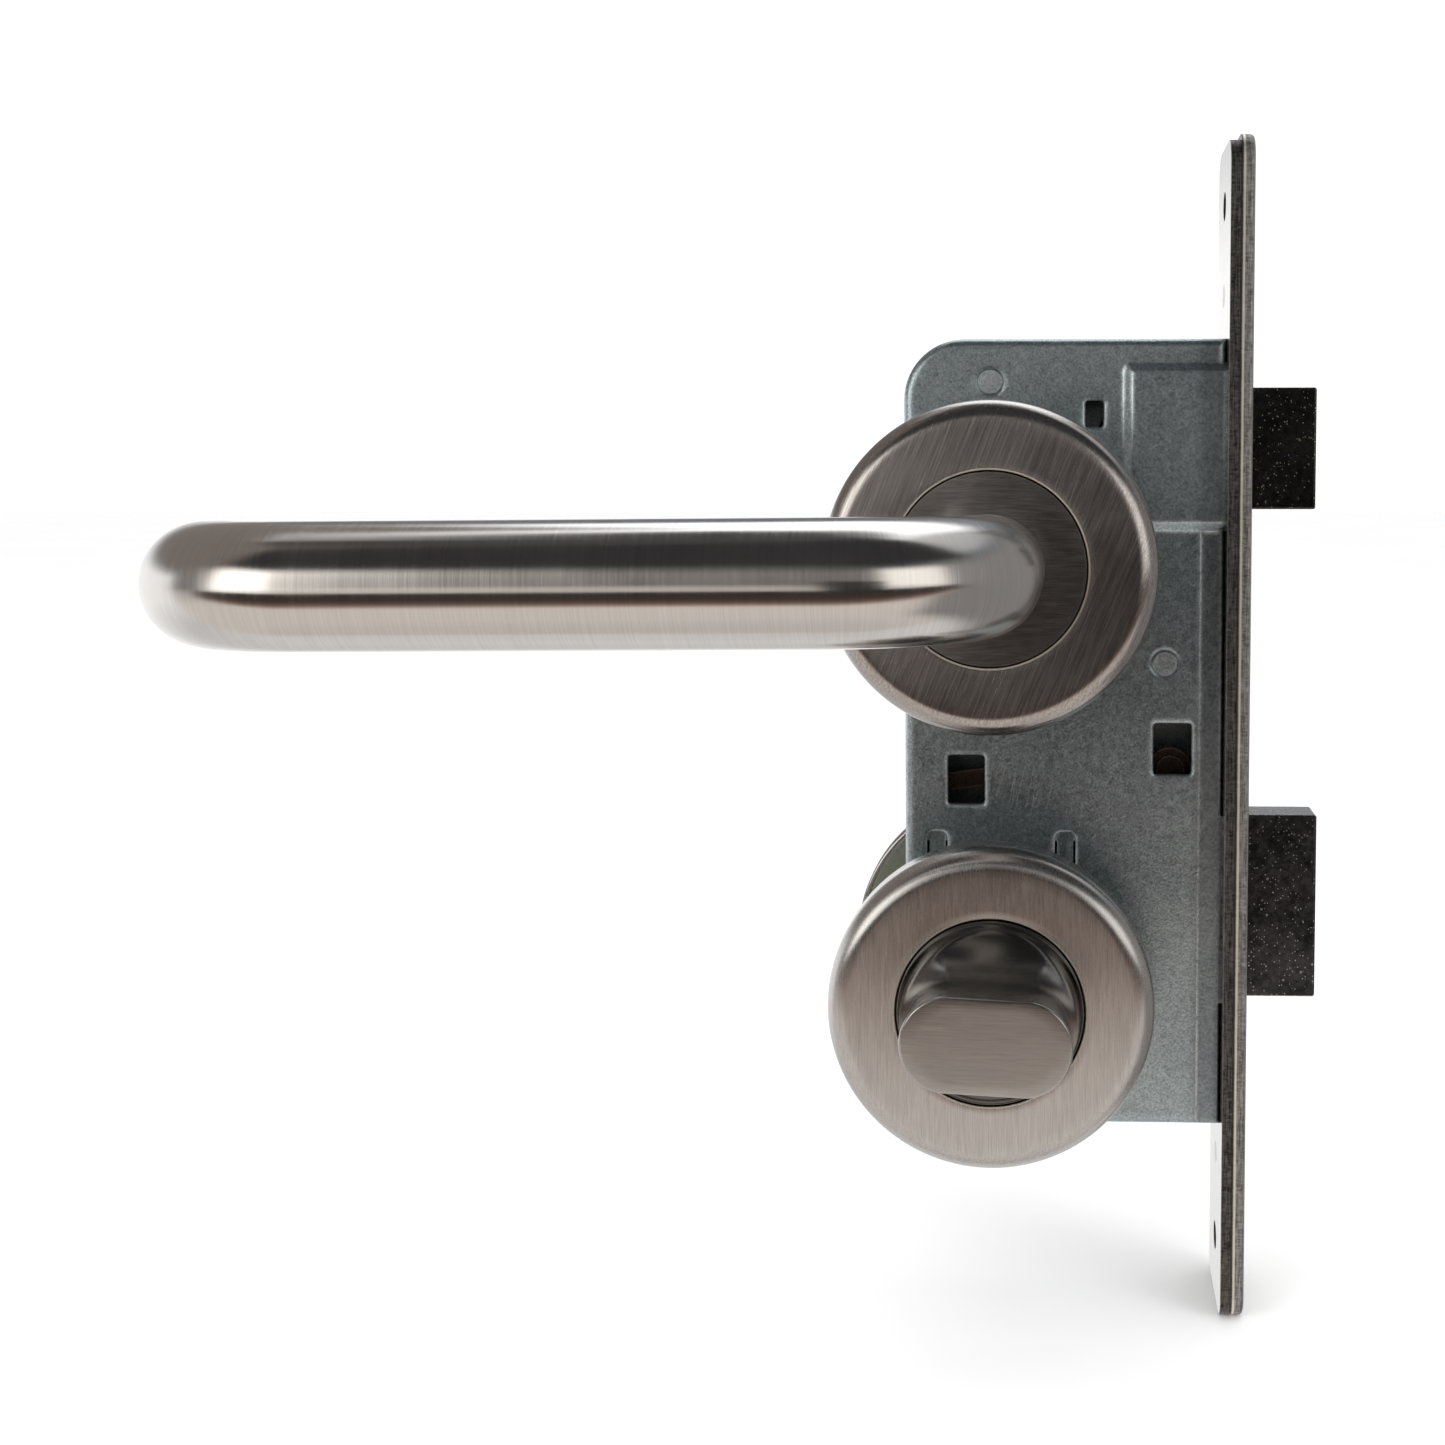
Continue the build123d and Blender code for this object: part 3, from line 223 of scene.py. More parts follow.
def make_brushed_grain():
    """Fine strokes of an abrasive belt: long one way, narrow the other, some deeper than others."""
    tree, given, out = effect("brushed grain", [
        ("Coordinates", VECTOR, None), ("Frequency", VECTOR, (200.0, 8000.0, 8000.0)),
        ("Deep Strokes", FLOAT, 0.35)], [("Shade", FLOAT), ("Height", FLOAT)])
    laid = vector_calc(tree, "MULTIPLY", given["Coordinates"], given["Frequency"])
    fine = noise(tree, laid, 1.0, 3.0, 0.6)
    broad = noise(tree, vector_calc(tree, "MULTIPLY", laid, (0.5, 0.30, 0.30)), 1.0, 2.0, 0.55)
    deep = noise(tree, vector_calc(tree, "MULTIPLY", laid, (0.35, 0.6, 0.6)), 1.0, 1.0, 0.5)
    stroke = spread(tree, deep, 0.60, 0.72)
    shade = total(tree, product(tree, fine, 0.7), product(tree, broad, 0.3))
    tree.links.new(shade, out["Shade"])
    cut = product(tree, stroke, given["Deep Strokes"])
    tree.links.new(calc(tree, "SUBTRACT", shade, cut), out["Height"])
    return tree


def make_hairlines():
    """Sparse thin scratches, all within a few degrees of one direction."""
    tree, given, out = effect("hairline scratches", [
        ("Coordinates", VECTOR, None), ("Frequency", VECTOR, (60.0, 1500.0, 1500.0)),
        ("Thinness", FLOAT, 0.012), ("Amount", FLOAT, 0.5)], [("Mask", FLOAT), ("Height", FLOAT)])
    laid = vector_calc(tree, "MULTIPLY", given["Coordinates"], given["Frequency"])
    line = distance_between(tree, noise(tree, laid, 1.0, 0.0, 0.5, 0.4), 0.5)
    thin = calc(tree, "SUBTRACT", 1.0, calc(tree, "DIVIDE", line, given["Thinness"]), clamp=True)
    broad = noise(tree, vector_calc(tree, "MULTIPLY", laid, (0.9, 0.06, 0.06)), 1.0, 1.0)
    where = spread(tree, broad, 0.52, 0.66)
    mask = product(tree, product(tree, thin, where), given["Amount"], clamp=True)
    tree.links.new(mask, out["Mask"])
    tree.links.new(product(tree, mask, -1.0), out["Height"])
    return tree


def make_mottle():
    """Clouded shade of plating: big clouds, small blotches and a fine grain."""
    tree, given, out = effect("mottled plating", [
        ("Coordinates", VECTOR, None), ("Cloud Frequency", FLOAT, 45.0), ("Blotch Frequency", FLOAT, 600.0),
        ("Grain Frequency", FLOAT, 5200.0)], [("Clouds", FLOAT), ("Blotches", FLOAT), ("Grain", FLOAT)])
    clouds = noise(tree, given["Coordinates"], given["Cloud Frequency"], 4.0, 0.55, 0.3)
    blotches = noise(tree, given["Coordinates"], given["Blotch Frequency"], 3.0, 0.6, 0.6)
    grain = noise(tree, given["Coordinates"], given["Grain Frequency"], 2.0, 0.7)
    tree.links.new(clouds, out["Clouds"])
    tree.links.new(blotches, out["Blotches"])
    tree.links.new(grain, out["Grain"])
    return tree


def make_edge_wear_and_highlight():
    """Outer edges lightened by wear and a painted highlight: the rounded normal turns away from the true one
    there.
    """
    tree, given, out = effect("edge wear and highlight", [
        ("Coordinates", VECTOR, None), ("Reach", FLOAT, 0.0004), ("Patch Frequency", FLOAT, 900.0),
        ("Amount", FLOAT, 1.0)], [("Mask", FLOAT)])
    rounded = add(tree, "ShaderNodeBevel", {"Radius": given["Reach"]}, samples=4)
    true = add(tree, "ShaderNodeNewGeometry")
    turned = vector_calc(tree, "DOT_PRODUCT", rounded.outputs["Normal"], true.outputs["Normal"])
    edge = spread(tree, turned, 0.995, 0.86)
    cloud = noise(tree, given["Coordinates"], given["Patch Frequency"], 3.0, 0.6)
    patches = spread(tree, cloud, 0.30, 0.62, 0.35, 1.0)
    mask = product(tree, product(tree, edge, patches), given["Amount"], clamp=True)
    tree.links.new(mask, out["Mask"])
    return tree


def make_corner_shade_and_dirt():
    """Painted shade in corners and gaps, found by ambient occlusion and broken into patches of grime."""
    tree, given, out = effect("corner shade and grime", [
        ("Coordinates", VECTOR, None), ("Reach", FLOAT, 0.003), ("Amount", FLOAT, 1.0)], [("Mask", FLOAT)])
    shut = add(tree, "ShaderNodeAmbientOcclusion", {"Distance": given["Reach"]}, samples=4)
    gap = spread(tree, shut.outputs["AO"], 0.75, 0.25)
    cloud = noise(tree, given["Coordinates"], 700.0, 3.0, 0.6)
    patches = spread(tree, cloud, 0.25, 0.65, 0.5, 1.0)
    mask = product(tree, product(tree, gap, patches), given["Amount"], clamp=True)
    tree.links.new(mask, out["Mask"])
    return tree


def make_specks():
    """Small bright grains scattered over a dark skin."""
    tree, given, out = effect("bright specks", [
        ("Coordinates", VECTOR, None), ("Frequency", FLOAT, 2600.0), ("Share", FLOAT, 0.3),
        ("Size", FLOAT, 0.33)], [("Mask", FLOAT)])
    cells = add(tree, "ShaderNodeTexVoronoi", {
        "Vector": given["Coordinates"], "Scale": given["Frequency"]})
    dot = calc(tree, "LESS_THAN", cells.outputs["Distance"], given["Size"])
    pick = add(tree, "ShaderNodeSeparateColor", {"Color": cells.outputs["Color"]})
    some = calc(tree, "LESS_THAN", pick.outputs[0], given["Share"])
    level = total(tree, 0.35, product(tree, pick.outputs[1], 0.65))
    tree.links.new(product(tree, product(tree, dot, some), level), out["Mask"])
    return tree


def make_handling():
    """Slow change of gloss where a surface has been touched and wiped."""
    tree, given, out = effect("handling marks", [
        ("Coordinates", VECTOR, None), ("Frequency", FLOAT, 90.0)], [("Change", FLOAT)])
    slow = noise(tree, given["Coordinates"], given["Frequency"], 3.0, 0.6, 0.8)
    tree.links.new(calc(tree, "SUBTRACT", slow, 0.5), out["Change"])
    return tree


brushed_grain = make_brushed_grain()
hairlines = make_hairlines()
mottle = make_mottle()
edge_wear_and_highlight = make_edge_wear_and_highlight()
corner_shade_and_dirt = make_corner_shade_and_dirt()
bright_specks = make_specks()
handling = make_handling()


# ---- Finishes ----

def start_finish(name):
    """A new material: its tree, its shader and the object's own coordinates."""
    made = bpy.data.materials.new(name)
    made.use_nodes = True
    tree = made.node_tree
    shader = tree.nodes["Principled BSDF"]
    place = add(tree, "ShaderNodeTexCoord").outputs["Object"]
    return made, tree, shader, place


def relief(tree, shader, height, depth, under=None):
    """Feeds a height to the shader's normal through a Bump node, over another normal if one is given."""
    inputs = {"Height": height, "Distance": depth, "Strength": 1.0}
    if under is not None:
        inputs["Normal"] = under
    bump = add(tree, "ShaderNodeBump", inputs)
    tree.links.new(bump.outputs["Normal"], shader.inputs["Normal"])


def blur_along(tree, shader, direction, amount):
    """Gloss that spreads further one way, across the strokes, than the other."""
    turned = add(tree, "ShaderNodeVectorTransform", {"Vector": direction}, vector_type="VECTOR",
                 convert_from="OBJECT", convert_to="WORLD").outputs["Vector"]
    tree.links.new(turned, shader.inputs["Tangent"])
    shader.inputs["Anisotropic"].default_value = amount


def belt_direction(tree, place, angle):
    """Coordinates turned so that X runs along strokes that stand at that angle above +X."""
    return add(tree, "ShaderNodeMapping", {"Vector": place, "Rotation": (0.0, math.radians(angle), 0.0)},
               vector_type="POINT").outputs["Vector"]


def brushed_metal(name, dark, light, worn_and_highlight, frequency, roughness, depth, stroke_angle=90.0, turned=False,
                  scratches=0.5, edge_reach=0.0004, hole=None, hollow=None):
    """Satin stainless steel with belt strokes in one direction, or round a tube.

    hole is (height of its middle, radius) of a painted highlight line round a hole's lip.
    hollow is (start, end, least): how far off the door a hollow's painted shade starts and ends, and
    the share of light at its start.
    """
    made, tree, shader, place = start_finish(name)
    if turned:
        laid = add(tree, "ShaderNodeAttribute", attribute_name="turned").outputs["Vector"]
        frequency = (frequency[0], frequency[0], frequency[1])
        across = add(tree, "ShaderNodeAttribute", attribute_name="tube_direction").outputs["Vector"]
    else:
        laid = belt_direction(tree, place, stroke_angle)
        across = (math.sin(math.radians(stroke_angle)), 0.0, -math.cos(math.radians(stroke_angle)))
    blur_along(tree, shader, across, 0.75 if turned else 0.6)
    grain = use(tree, brushed_grain, Coordinates=laid, Frequency=frequency)
    thinning = (0.35, 0.35, 0.18) if turned else (0.35, 0.18, 0.18)
    fine_lines = use(tree, hairlines, Coordinates=laid, Amount=scratches,
                     Frequency=tuple(f * k for f, k in zip(frequency, thinning)))
    rubbed_and_highlit = use(tree, edge_wear_and_highlight, Coordinates=place, Reach=edge_reach, Amount=0.8)["Mask"]
    shade_and_dirt = use(tree, corner_shade_and_dirt, Coordinates=place, Reach=0.0015, Amount=0.6)["Mask"]
    touched = use(tree, handling, Coordinates=place)["Change"]
    shade = spread(tree, grain["Shade"], 0.30, 0.70)
    colour = blend_colour(tree, shade, dark, light)
    # Edges lightened: wear, with a painted highlight along them
    colour = blend_colour(tree, rubbed_and_highlit, colour, worn_and_highlight)
    colour = blend_colour(tree, product(tree, fine_lines["Mask"], 0.6), colour, worn_and_highlight)
    # Painted shade in corners and gaps, broken into patches of grime
    colour = blend_colour(tree, shade_and_dirt, colour, (0.10, 0.08, 0.07))
    # Painted shade: the thumbturn's hollows darken toward the door
    if hollow is not None:
        shade_start, shade_end, least = hollow
        toward_outside = component(tree, place, "Y")
        off_door = product(tree, toward_outside, -1.0)
        lit = spread(tree, off_door, shade_start, shade_end, least, 1.0)
        lit = calc(tree, "MAXIMUM", lit, spread(tree, toward_outside, 0.0, MM))
        colour = blend_colour(tree, lit, (0.012, 0.010, 0.009), colour)
    gloss = total(tree, product(tree, grain["Shade"], 0.14), roughness - 0.07)
    # Painted highlight: a cream line round the hole's lip
    if hole is not None:
        middle_z, radius = hole
        off_axis = vector_calc(tree, "SUBTRACT", place, (spindle_x, 0.0, middle_z))
        off_axis = vector_calc(tree, "MULTIPLY", off_axis, (1.0, 0.0, 1.0))
        off_line = distance_between(tree, vector_calc(tree, "LENGTH", off_axis), radius)
        bright = spread(tree, off_line, hole_line_half, hole_line_core)
        colour = blend_colour(tree, product(tree, bright, 0.7), colour, (0.90, 0.83, 0.70))
        gloss = total(tree, gloss, product(tree, bright, 0.30))
    tree.links.new(colour, shader.inputs["Base Color"])
    shader.inputs["Metallic"].default_value = 1.0
    gloss = total(tree, gloss, product(tree, touched, 0.12), clamp=True)
    tree.links.new(gloss, shader.inputs["Roughness"])
    height = total(tree, grain["Height"], product(tree, fine_lines["Height"], 0.8))
    relief(tree, shader, height, depth)
    return made


def plated_metal(name, dark, light, worn_and_highlight, roughness, depth=0.000010, cloud=45.0, blotch=600.0, grain=5200.0,
                 scratches=0.35, edge_reach=0.0005, soften=None, shade_start=None):
    """Zinc or nickel plate over pressed, turned or cast metal: clouded, finely grained, with wear and a
    painted highlight at its edges.

    soften rounds the edges' normals by that radius. shade_start is the X beyond which a painted
    shadow of the forend darkens the case.
    """
    made, tree, shader, place = start_finish(name)
    plate = use(tree, mottle, Coordinates=place, Cloud_Frequency=cloud, Blotch_Frequency=blotch,
                Grain_Frequency=grain)
    lines = use(tree, hairlines, Coordinates=belt_direction(tree, place, 80.0), Thinness=0.010,
                Frequency=(50.0, 900.0, 900.0), Amount=scratches)
    crossed = use(tree, hairlines, Coordinates=belt_direction(tree, place, 25.0), Thinness=0.009,
                  Frequency=(70.0, 1100.0, 1100.0), Amount=scratches * 0.8)
    rubbed_and_highlit = use(tree, edge_wear_and_highlight, Coordinates=place, Reach=edge_reach, Amount=0.9)["Mask"]
    shade_and_dirt = use(tree, corner_shade_and_dirt, Coordinates=place, Reach=0.0025, Amount=0.75)["Mask"]
    mix = total(tree, product(tree, plate["Clouds"], 0.25), product(tree, plate["Blotches"], 0.20))
    mix = total(tree, mix, product(tree, plate["Grain"], 0.55))
    colour = blend_colour(tree, spread(tree, mix, 0.38, 0.62), dark, light)
    # Painted shadow: the case darkens beyond shade_start, where the forend shades it
    if shade_start is not None:
        forend_shadow = spread(tree, component(tree, place, "X"), shade_start, shade_start + case_shade_fade)
        colour = blend_colour(tree, product(tree, forend_shadow, 0.38), colour, (0.10, 0.11, 0.12))
    scored = calc(tree, "MAXIMUM", lines["Mask"], crossed["Mask"])
    colour = blend_colour(tree, product(tree, scored, 0.55), colour, worn_and_highlight)
    # Edges lightened: wear, with a painted highlight along them
    colour = blend_colour(tree, rubbed_and_highlit, colour, worn_and_highlight)
    # Painted shade in corners and gaps, broken into patches of grime
    colour = blend_colour(tree, shade_and_dirt, colour, (0.045, 0.045, 0.05))
    tree.links.new(colour, shader.inputs["Base Color"])
    shader.inputs["Metallic"].default_value = 0.97
    gloss = total(tree, product(tree, plate["Blotches"], 0.22), roughness - 0.11)
    gloss = calc(tree, "SUBTRACT", gloss, product(tree, rubbed_and_highlit, 0.10), clamp=True)
    tree.links.new(gloss, shader.inputs["Roughness"])
    height = total(tree, plate["Grain"], product(tree, plate["Blotches"], 0.8))
    height = calc(tree, "SUBTRACT", height, product(tree, scored, 0.6))
    rounded = None
    if soften is not None:
        rounded = add(tree, "ShaderNodeBevel", {"Radius": soften}, samples=8).outputs["Normal"]
    relief(tree, shader, height, depth, under=rounded)
    return made


def blackened_metal(name, dark, light, speck, speck_frequency, speck_share, speck_size, roughness, depth):
    """Dark skin of a bolt with bright grains in it, and its edges lightened by wear and a painted highlight.
    """
    made, tree, shader, place = start_finish(name)
    plate = use(tree, mottle, Coordinates=place, Cloud_Frequency=120.0, Blotch_Frequency=900.0,
                Grain_Frequency=6000.0)
    small = use(tree, bright_specks, Coordinates=place, Frequency=speck_frequency, Share=speck_share,
                Size=speck_size)["Mask"]
    large = use(tree, bright_specks, Coordinates=place, Frequency=speck_frequency * 0.45,
                Share=speck_share * 0.35, Size=speck_size * 0.8)["Mask"]
    grains = calc(tree, "MAXIMUM", small, large)
    rubbed_and_highlit = use(tree, edge_wear_and_highlight, Coordinates=place, Reach=0.00035, Patch_Frequency=1500.0)["Mask"]
    mix = total(tree, product(tree, plate["Clouds"], 0.5), product(tree, plate["Blotches"], 0.5))
    colour = blend_colour(tree, spread(tree, mix, 0.38, 0.64), dark, light)
    colour = blend_colour(tree, grains, colour, speck)
    # Edges lightened: wear, with a painted highlight along them
    colour = blend_colour(tree, rubbed_and_highlit, colour, speck)
    tree.links.new(colour, shader.inputs["Base Color"])
    bare = calc(tree, "MAXIMUM", grains, rubbed_and_highlit)
    tree.links.new(spread(tree, bare, 0.0, 1.0, 0.94, 1.0), shader.inputs["Metallic"])
    gloss = total(tree, product(tree, plate["Blotches"], 0.25), roughness - 0.12, clamp=True)
    tree.links.new(gloss, shader.inputs["Roughness"])
    height = total(tree, product(tree, plate["Blotches"], 0.7), product(tree, grains, 0.8))
    relief(tree, shader, height, depth)
    return made


def sheared_plate(name, face_dark, face_light, edge_dark, edge_light, worn_and_highlight, roughness):
    """Plate with a belt-brushed face, rough sheared edges, a painted shadow line at the joint and a painted
    highlight line on the lip beside it.
    """
    made, tree, shader, place = start_finish(name)
    facing = add(tree, "ShaderNodeTexCoord").outputs["Normal"]
    face = spread(tree, calc(tree, "ABSOLUTE", component(tree, facing, "X")), 0.55, 0.85)
    laid = belt_direction(tree, place, 90.0)
    grain = use(tree, brushed_grain, Coordinates=laid, Frequency=(140.0, 6000.0, 6000.0))
    tears = use(tree, brushed_grain, Coordinates=place, Frequency=(900.0, 900.0, 2600.0), Deep_Strokes=0.8)
    breaks = noise(tree, vector_calc(tree, "MULTIPLY", place, (5200.0, 400.0, 300.0)), 1.0, 3.0, 0.65)
    rubbed_and_highlit = use(tree, edge_wear_and_highlight, Coordinates=place, Reach=0.00025, Patch_Frequency=1200.0,
                 Amount=0.8)["Mask"]
    shade_and_dirt = use(tree, corner_shade_and_dirt, Coordinates=place, Reach=0.0012, Amount=0.8)["Mask"]
    plain = blend_colour(tree, spread(tree, grain["Shade"], 0.32, 0.68), face_dark, face_light)
    rough = total(tree, product(tree, tears["Shade"], 0.5), product(tree, breaks, 0.5))
    torn = blend_colour(tree, spread(tree, rough, 0.41, 0.59), edge_dark, edge_light)
    colour = blend_colour(tree, face, torn, plain)
    depth_in = component(tree, place, "X")
    # Painted shadow line at the joint, and a painted highlight line on the lip beside it
    joint = spread(tree, distance_between(tree, depth_in, plates_joint), joint_half, joint_core)
    lip = spread(tree, distance_between(tree, depth_in, lip_middle), lip_half, lip_core)
    colour = blend_colour(tree, product(tree, lip, 0.8), colour, worn_and_highlight)
    # Edges lightened: wear, with a painted highlight along them
    colour = blend_colour(tree, rubbed_and_highlit, colour, worn_and_highlight)
    colour = blend_colour(tree, product(tree, joint, 0.85), colour, (0.02, 0.018, 0.016))
    # Painted shade in corners and gaps, broken into patches of grime
    colour = blend_colour(tree, shade_and_dirt, colour, (0.04, 0.035, 0.03))
    tree.links.new(colour, shader.inputs["Base Color"])
    shader.inputs["Metallic"].default_value = 0.95
    uneven = product(tree, calc(tree, "SUBTRACT", grain["Shade"], 0.5), 0.15)
    gloss = total(tree, spread(tree, face, 0.0, 1.0, 0.52, roughness), uneven, clamp=True)
    tree.links.new(gloss, shader.inputs["Roughness"])
    edge_height = product(tree, total(tree, tears["Height"], breaks),
                          calc(tree, "SUBTRACT", 2.0, product(tree, face, 2.0)))
    height = total(tree, product(tree, grain["Height"], face), edge_height)
    relief(tree, shader, height, 0.000014)
    return made


def moulded_nylon(name, dark, light):
    """Natural nylon with a fine moulded grain."""
    made, tree, shader, place = start_finish(name)
    skin = use(tree, mottle, Coordinates=place, Cloud_Frequency=80.0, Blotch_Frequency=1200.0,
               Grain_Frequency=7000.0)
    rubbed_and_highlit = use(tree, edge_wear_and_highlight, Coordinates=place, Reach=0.0003, Amount=0.5)["Mask"]
    colour = blend_colour(tree, spread(tree, skin["Clouds"], 0.35, 0.65), dark, light)
    # Edges lightened: wear, with a painted highlight along them
    colour = blend_colour(tree, rubbed_and_highlit, colour, (0.93, 0.92, 0.88))
    tree.links.new(colour, shader.inputs["Base Color"])
    tree.links.new(spread(tree, skin["Blotches"], 0.3, 0.7, 0.42, 0.60), shader.inputs["Roughness"])
    shader.inputs["Subsurface Weight"].default_value = 0.08
    shader.inputs["Subsurface Radius"].default_value = (0.002, 0.0018, 0.0014)
    relief(tree, shader, skin["Grain"], 0.000008)
    return made


finishes = {
    "zinc_plated_sheet": plated_metal(
        "zinc plated sheet", dark=(0.23, 0.275, 0.30), light=(0.53, 0.605, 0.63), worn_and_highlight=(0.86, 0.91, 0.92),
        roughness=0.33, depth=0.000026, blotch=900.0, grain=2700.0, scratches=0.6, soften=0.0013,
        shade_start=case_shade_start),
    "rivet_steel": plated_metal(
        "rivet steel", dark=(0.34, 0.38, 0.40), light=(0.66, 0.72, 0.74), worn_and_highlight=(0.86, 0.90, 0.91),
        roughness=0.40, cloud=200.0, blotch=1500.0, grain=3000.0, depth=0.00002),
    "forend_steel": sheared_plate(
        "forend steel", face_dark=(0.55, 0.54, 0.52), face_light=(0.68, 0.67, 0.65),
        edge_dark=(0.028, 0.026, 0.025), edge_light=(0.17, 0.158, 0.15), worn_and_highlight=(0.70, 0.67, 0.62),
        roughness=0.17),
    "cover_stainless": sheared_plate(
        "cover stainless", face_dark=(0.52, 0.50, 0.47), face_light=(0.68, 0.66, 0.62),
        edge_dark=(0.14, 0.135, 0.132), edge_light=(0.46, 0.45, 0.44), worn_and_highlight=(0.95, 0.90, 0.78),
        roughness=0.27),
    "screw_steel": plated_metal(
        "screw steel", dark=(0.38, 0.37, 0.35), light=(0.56, 0.55, 0.52), worn_and_highlight=(0.76, 0.74, 0.70),
        roughness=0.30, cloud=260.0, blotch=1800.0, scratches=0.6),
    "spring_wire": plated_metal(
        "spring wire", dark=(0.34, 0.33, 0.31), light=(0.60, 0.58, 0.55), worn_and_highlight=(0.78, 0.76, 0.72),
        roughness=0.28, cloud=300.0, blotch=2200.0, edge_reach=0.0001),
    "blued_spring_steel": plated_metal(
        "blued spring steel", dark=(0.05, 0.035, 0.028), light=(0.13, 0.10, 0.08), worn_and_highlight=(0.40, 0.35, 0.30),
        roughness=0.32, cloud=150.0, blotch=1100.0),
    "follower_zinc": plated_metal(
        "follower casting", dark=(0.36, 0.36, 0.35), light=(0.54, 0.54, 0.52), worn_and_highlight=(0.72, 0.72, 0.70),
        roughness=0.46, cloud=160.0, blotch=900.0, grain=3600.0, depth=0.00002),
    "latch_dark_steel": blackened_metal(
        "latch skin", dark=(0.012, 0.011, 0.010), light=(0.040, 0.036, 0.032), speck=(0.60, 0.52, 0.42),
        speck_frequency=3000.0, speck_share=0.14, speck_size=0.30, roughness=0.26, depth=0.000008),
    "deadbolt_black_casting": blackened_metal(
        "deadbolt skin", dark=(0.022, 0.022, 0.024), light=(0.085, 0.085, 0.090), speck=(0.80, 0.80, 0.80),
        speck_frequency=2300.0, speck_share=0.22, speck_size=0.26, roughness=0.24, depth=0.000025),
    "spindle_steel": plated_metal(
        "spindle steel", dark=(0.36, 0.37, 0.37), light=(0.55, 0.56, 0.55), worn_and_highlight=(0.75, 0.75, 0.73),
        roughness=0.38, cloud=140.0, blotch=1000.0),
    "lever_stainless": brushed_metal(
        "lever satin", dark=(0.585, 0.56, 0.535), light=(0.68, 0.655, 0.63), worn_and_highlight=(0.88, 0.86, 0.82),
        turned=True, frequency=(60.0, 9000.0, 9000.0), roughness=0.17, depth=0.0000016, scratches=0.35,
        edge_reach=0.0003),
    "lever_hub_stainless": brushed_metal(
        "hub satin", dark=(0.33, 0.31, 0.295), light=(0.58, 0.555, 0.53), worn_and_highlight=(0.90, 0.84, 0.74),
        stroke_angle=0.0, frequency=(260.0, 5200.0, 5200.0), roughness=0.19, depth=0.0000030),
    "lever_rose_stainless": brushed_metal(
        "lever rose satin", dark=(0.27, 0.245, 0.232), light=(0.60, 0.565, 0.545), worn_and_highlight=(0.86, 0.83, 0.78),
        stroke_angle=68.0, frequency=(150.0, 9000.0, 9000.0), roughness=0.24, depth=0.0000036,
        scratches=0.30, hole=(spindle_z, lever_hole_radius + lip_round)),
    "turn_rose_stainless": brushed_metal(
        "turn rose satin", dark=(0.42, 0.405, 0.395), light=(0.66, 0.64, 0.625), worn_and_highlight=(0.92, 0.88, 0.80),
        stroke_angle=90.0, frequency=(240.0, 9000.0, 9000.0), roughness=0.27, depth=0.0000036,
        scratches=0.3, hole=(turn_z, turn_hole_radius + lip_round)),
    "turn_stainless": brushed_metal(
        "turn satin", dark=(0.37, 0.355, 0.34), light=(0.49, 0.475, 0.455), worn_and_highlight=(0.90, 0.85, 0.76),
        stroke_angle=-3.0, frequency=(200.0, 6500.0, 6500.0), roughness=0.24, depth=0.0000024,
        scratches=0.3, hollow=(turn_face, turn_face + turn_shade_reach, 0.30)),
    "rose_plate_casting": plated_metal(
        "rose plate casting", dark=(0.27, 0.29, 0.24), light=(0.42, 0.44, 0.37), worn_and_highlight=(0.66, 0.66, 0.58),
        roughness=0.48, cloud=110.0, blotch=800.0, grain=3200.0, depth=0.00002),
    "bush_plastic": moulded_nylon("nylon bush", dark=(0.74, 0.73, 0.67), light=(0.86, 0.85, 0.80)),
}

slot_of = {row["node"]: row["material_slot"] for row in frame["record"]["subparts"]}

# The lever's finish needs the tube's own coordinates, so its flat end caps take the hub's. The
# studs in the case are blued like the springs.
own_finish = {"case_studs": "blued_spring_steel", "lever_end_cap_inside": "lever_hub_stainless",
              "lever_end_cap_outside": "lever_hub_stainless"}

for node_name, node_object in frame["nodes"].items():
    finish = finishes[own_finish.get(node_name, slot_of[node_name])]
    for index in range(max(1, len(node_object.data.materials))):
        if index < len(node_object.data.materials):
            node_object.material_slots[index].material = finish
        else:
            node_object.data.materials.append(finish)


# ---- Pieces made here in place of plain solids ----

def close_bands(work, rings, closed=False):
    """Faces between each ring of points and the next, and from the last to the first if closed."""
    for first, second in zip(rings, rings[1:] + rings[:1] if closed else rings[1:]):
        around = len(first)
        for turn in range(around):
            following = (turn + 1) % around
            work.faces.new((first[turn], first[following], second[following], second[turn]))


def place_object(name, data):
    """A new object in the scene."""
    made = bpy.data.objects.new(name, data)
    bpy.context.scene.collection.objects.link(made)
    return made


def mesh_piece(name, work, body, replaced):
    """Turns a bmesh into a named piece that rides on its body and stands for its node."""
    slot = slot_of[replaced]
    data = bpy.data.meshes.new(name)
    bmesh.ops.recalc_face_normals(work, faces=work.faces)
    work.to_mesh(data)
    work.free()
    data.polygons.foreach_set("use_smooth", [True] * len(data.polygons))
    data.materials.append(finishes[slot])
    made = place_object(name, data)
    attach(made, body)
    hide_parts(replaced)


def lever_centre_line(side, droop):
    """Points along the bent tube: neck, bend, grip, bend, return leg."""
    steps = 28
    grip_steps = 24
    corner = lever_bend_radius
    flat = [(0.0, lever_face)]
    for turn in range(steps + 1):
        angle = math.pi / 2 * turn / steps
        flat.append((-corner * (1 - math.cos(angle)), grip_distance - corner * (1 - math.sin(angle))))
    for step in range(1, grip_steps):
        flat.append((-corner - (lever_reach - 2 * corner) * step / grip_steps, grip_distance))
    for turn in range(steps + 1):
        angle = math.pi / 2 * turn / steps
        flat.append((-lever_reach + corner * (1 - math.sin(angle)),
                     grip_distance - corner * (1 - math.cos(angle))))
    flat.append((-lever_reach, return_end))
    return [
        Vector((spindle_x + along * math.cos(droop), side * out,
                spindle_z + along * math.sin(droop) + neck_rise * (out - lever_face)))
        for along, out in flat]


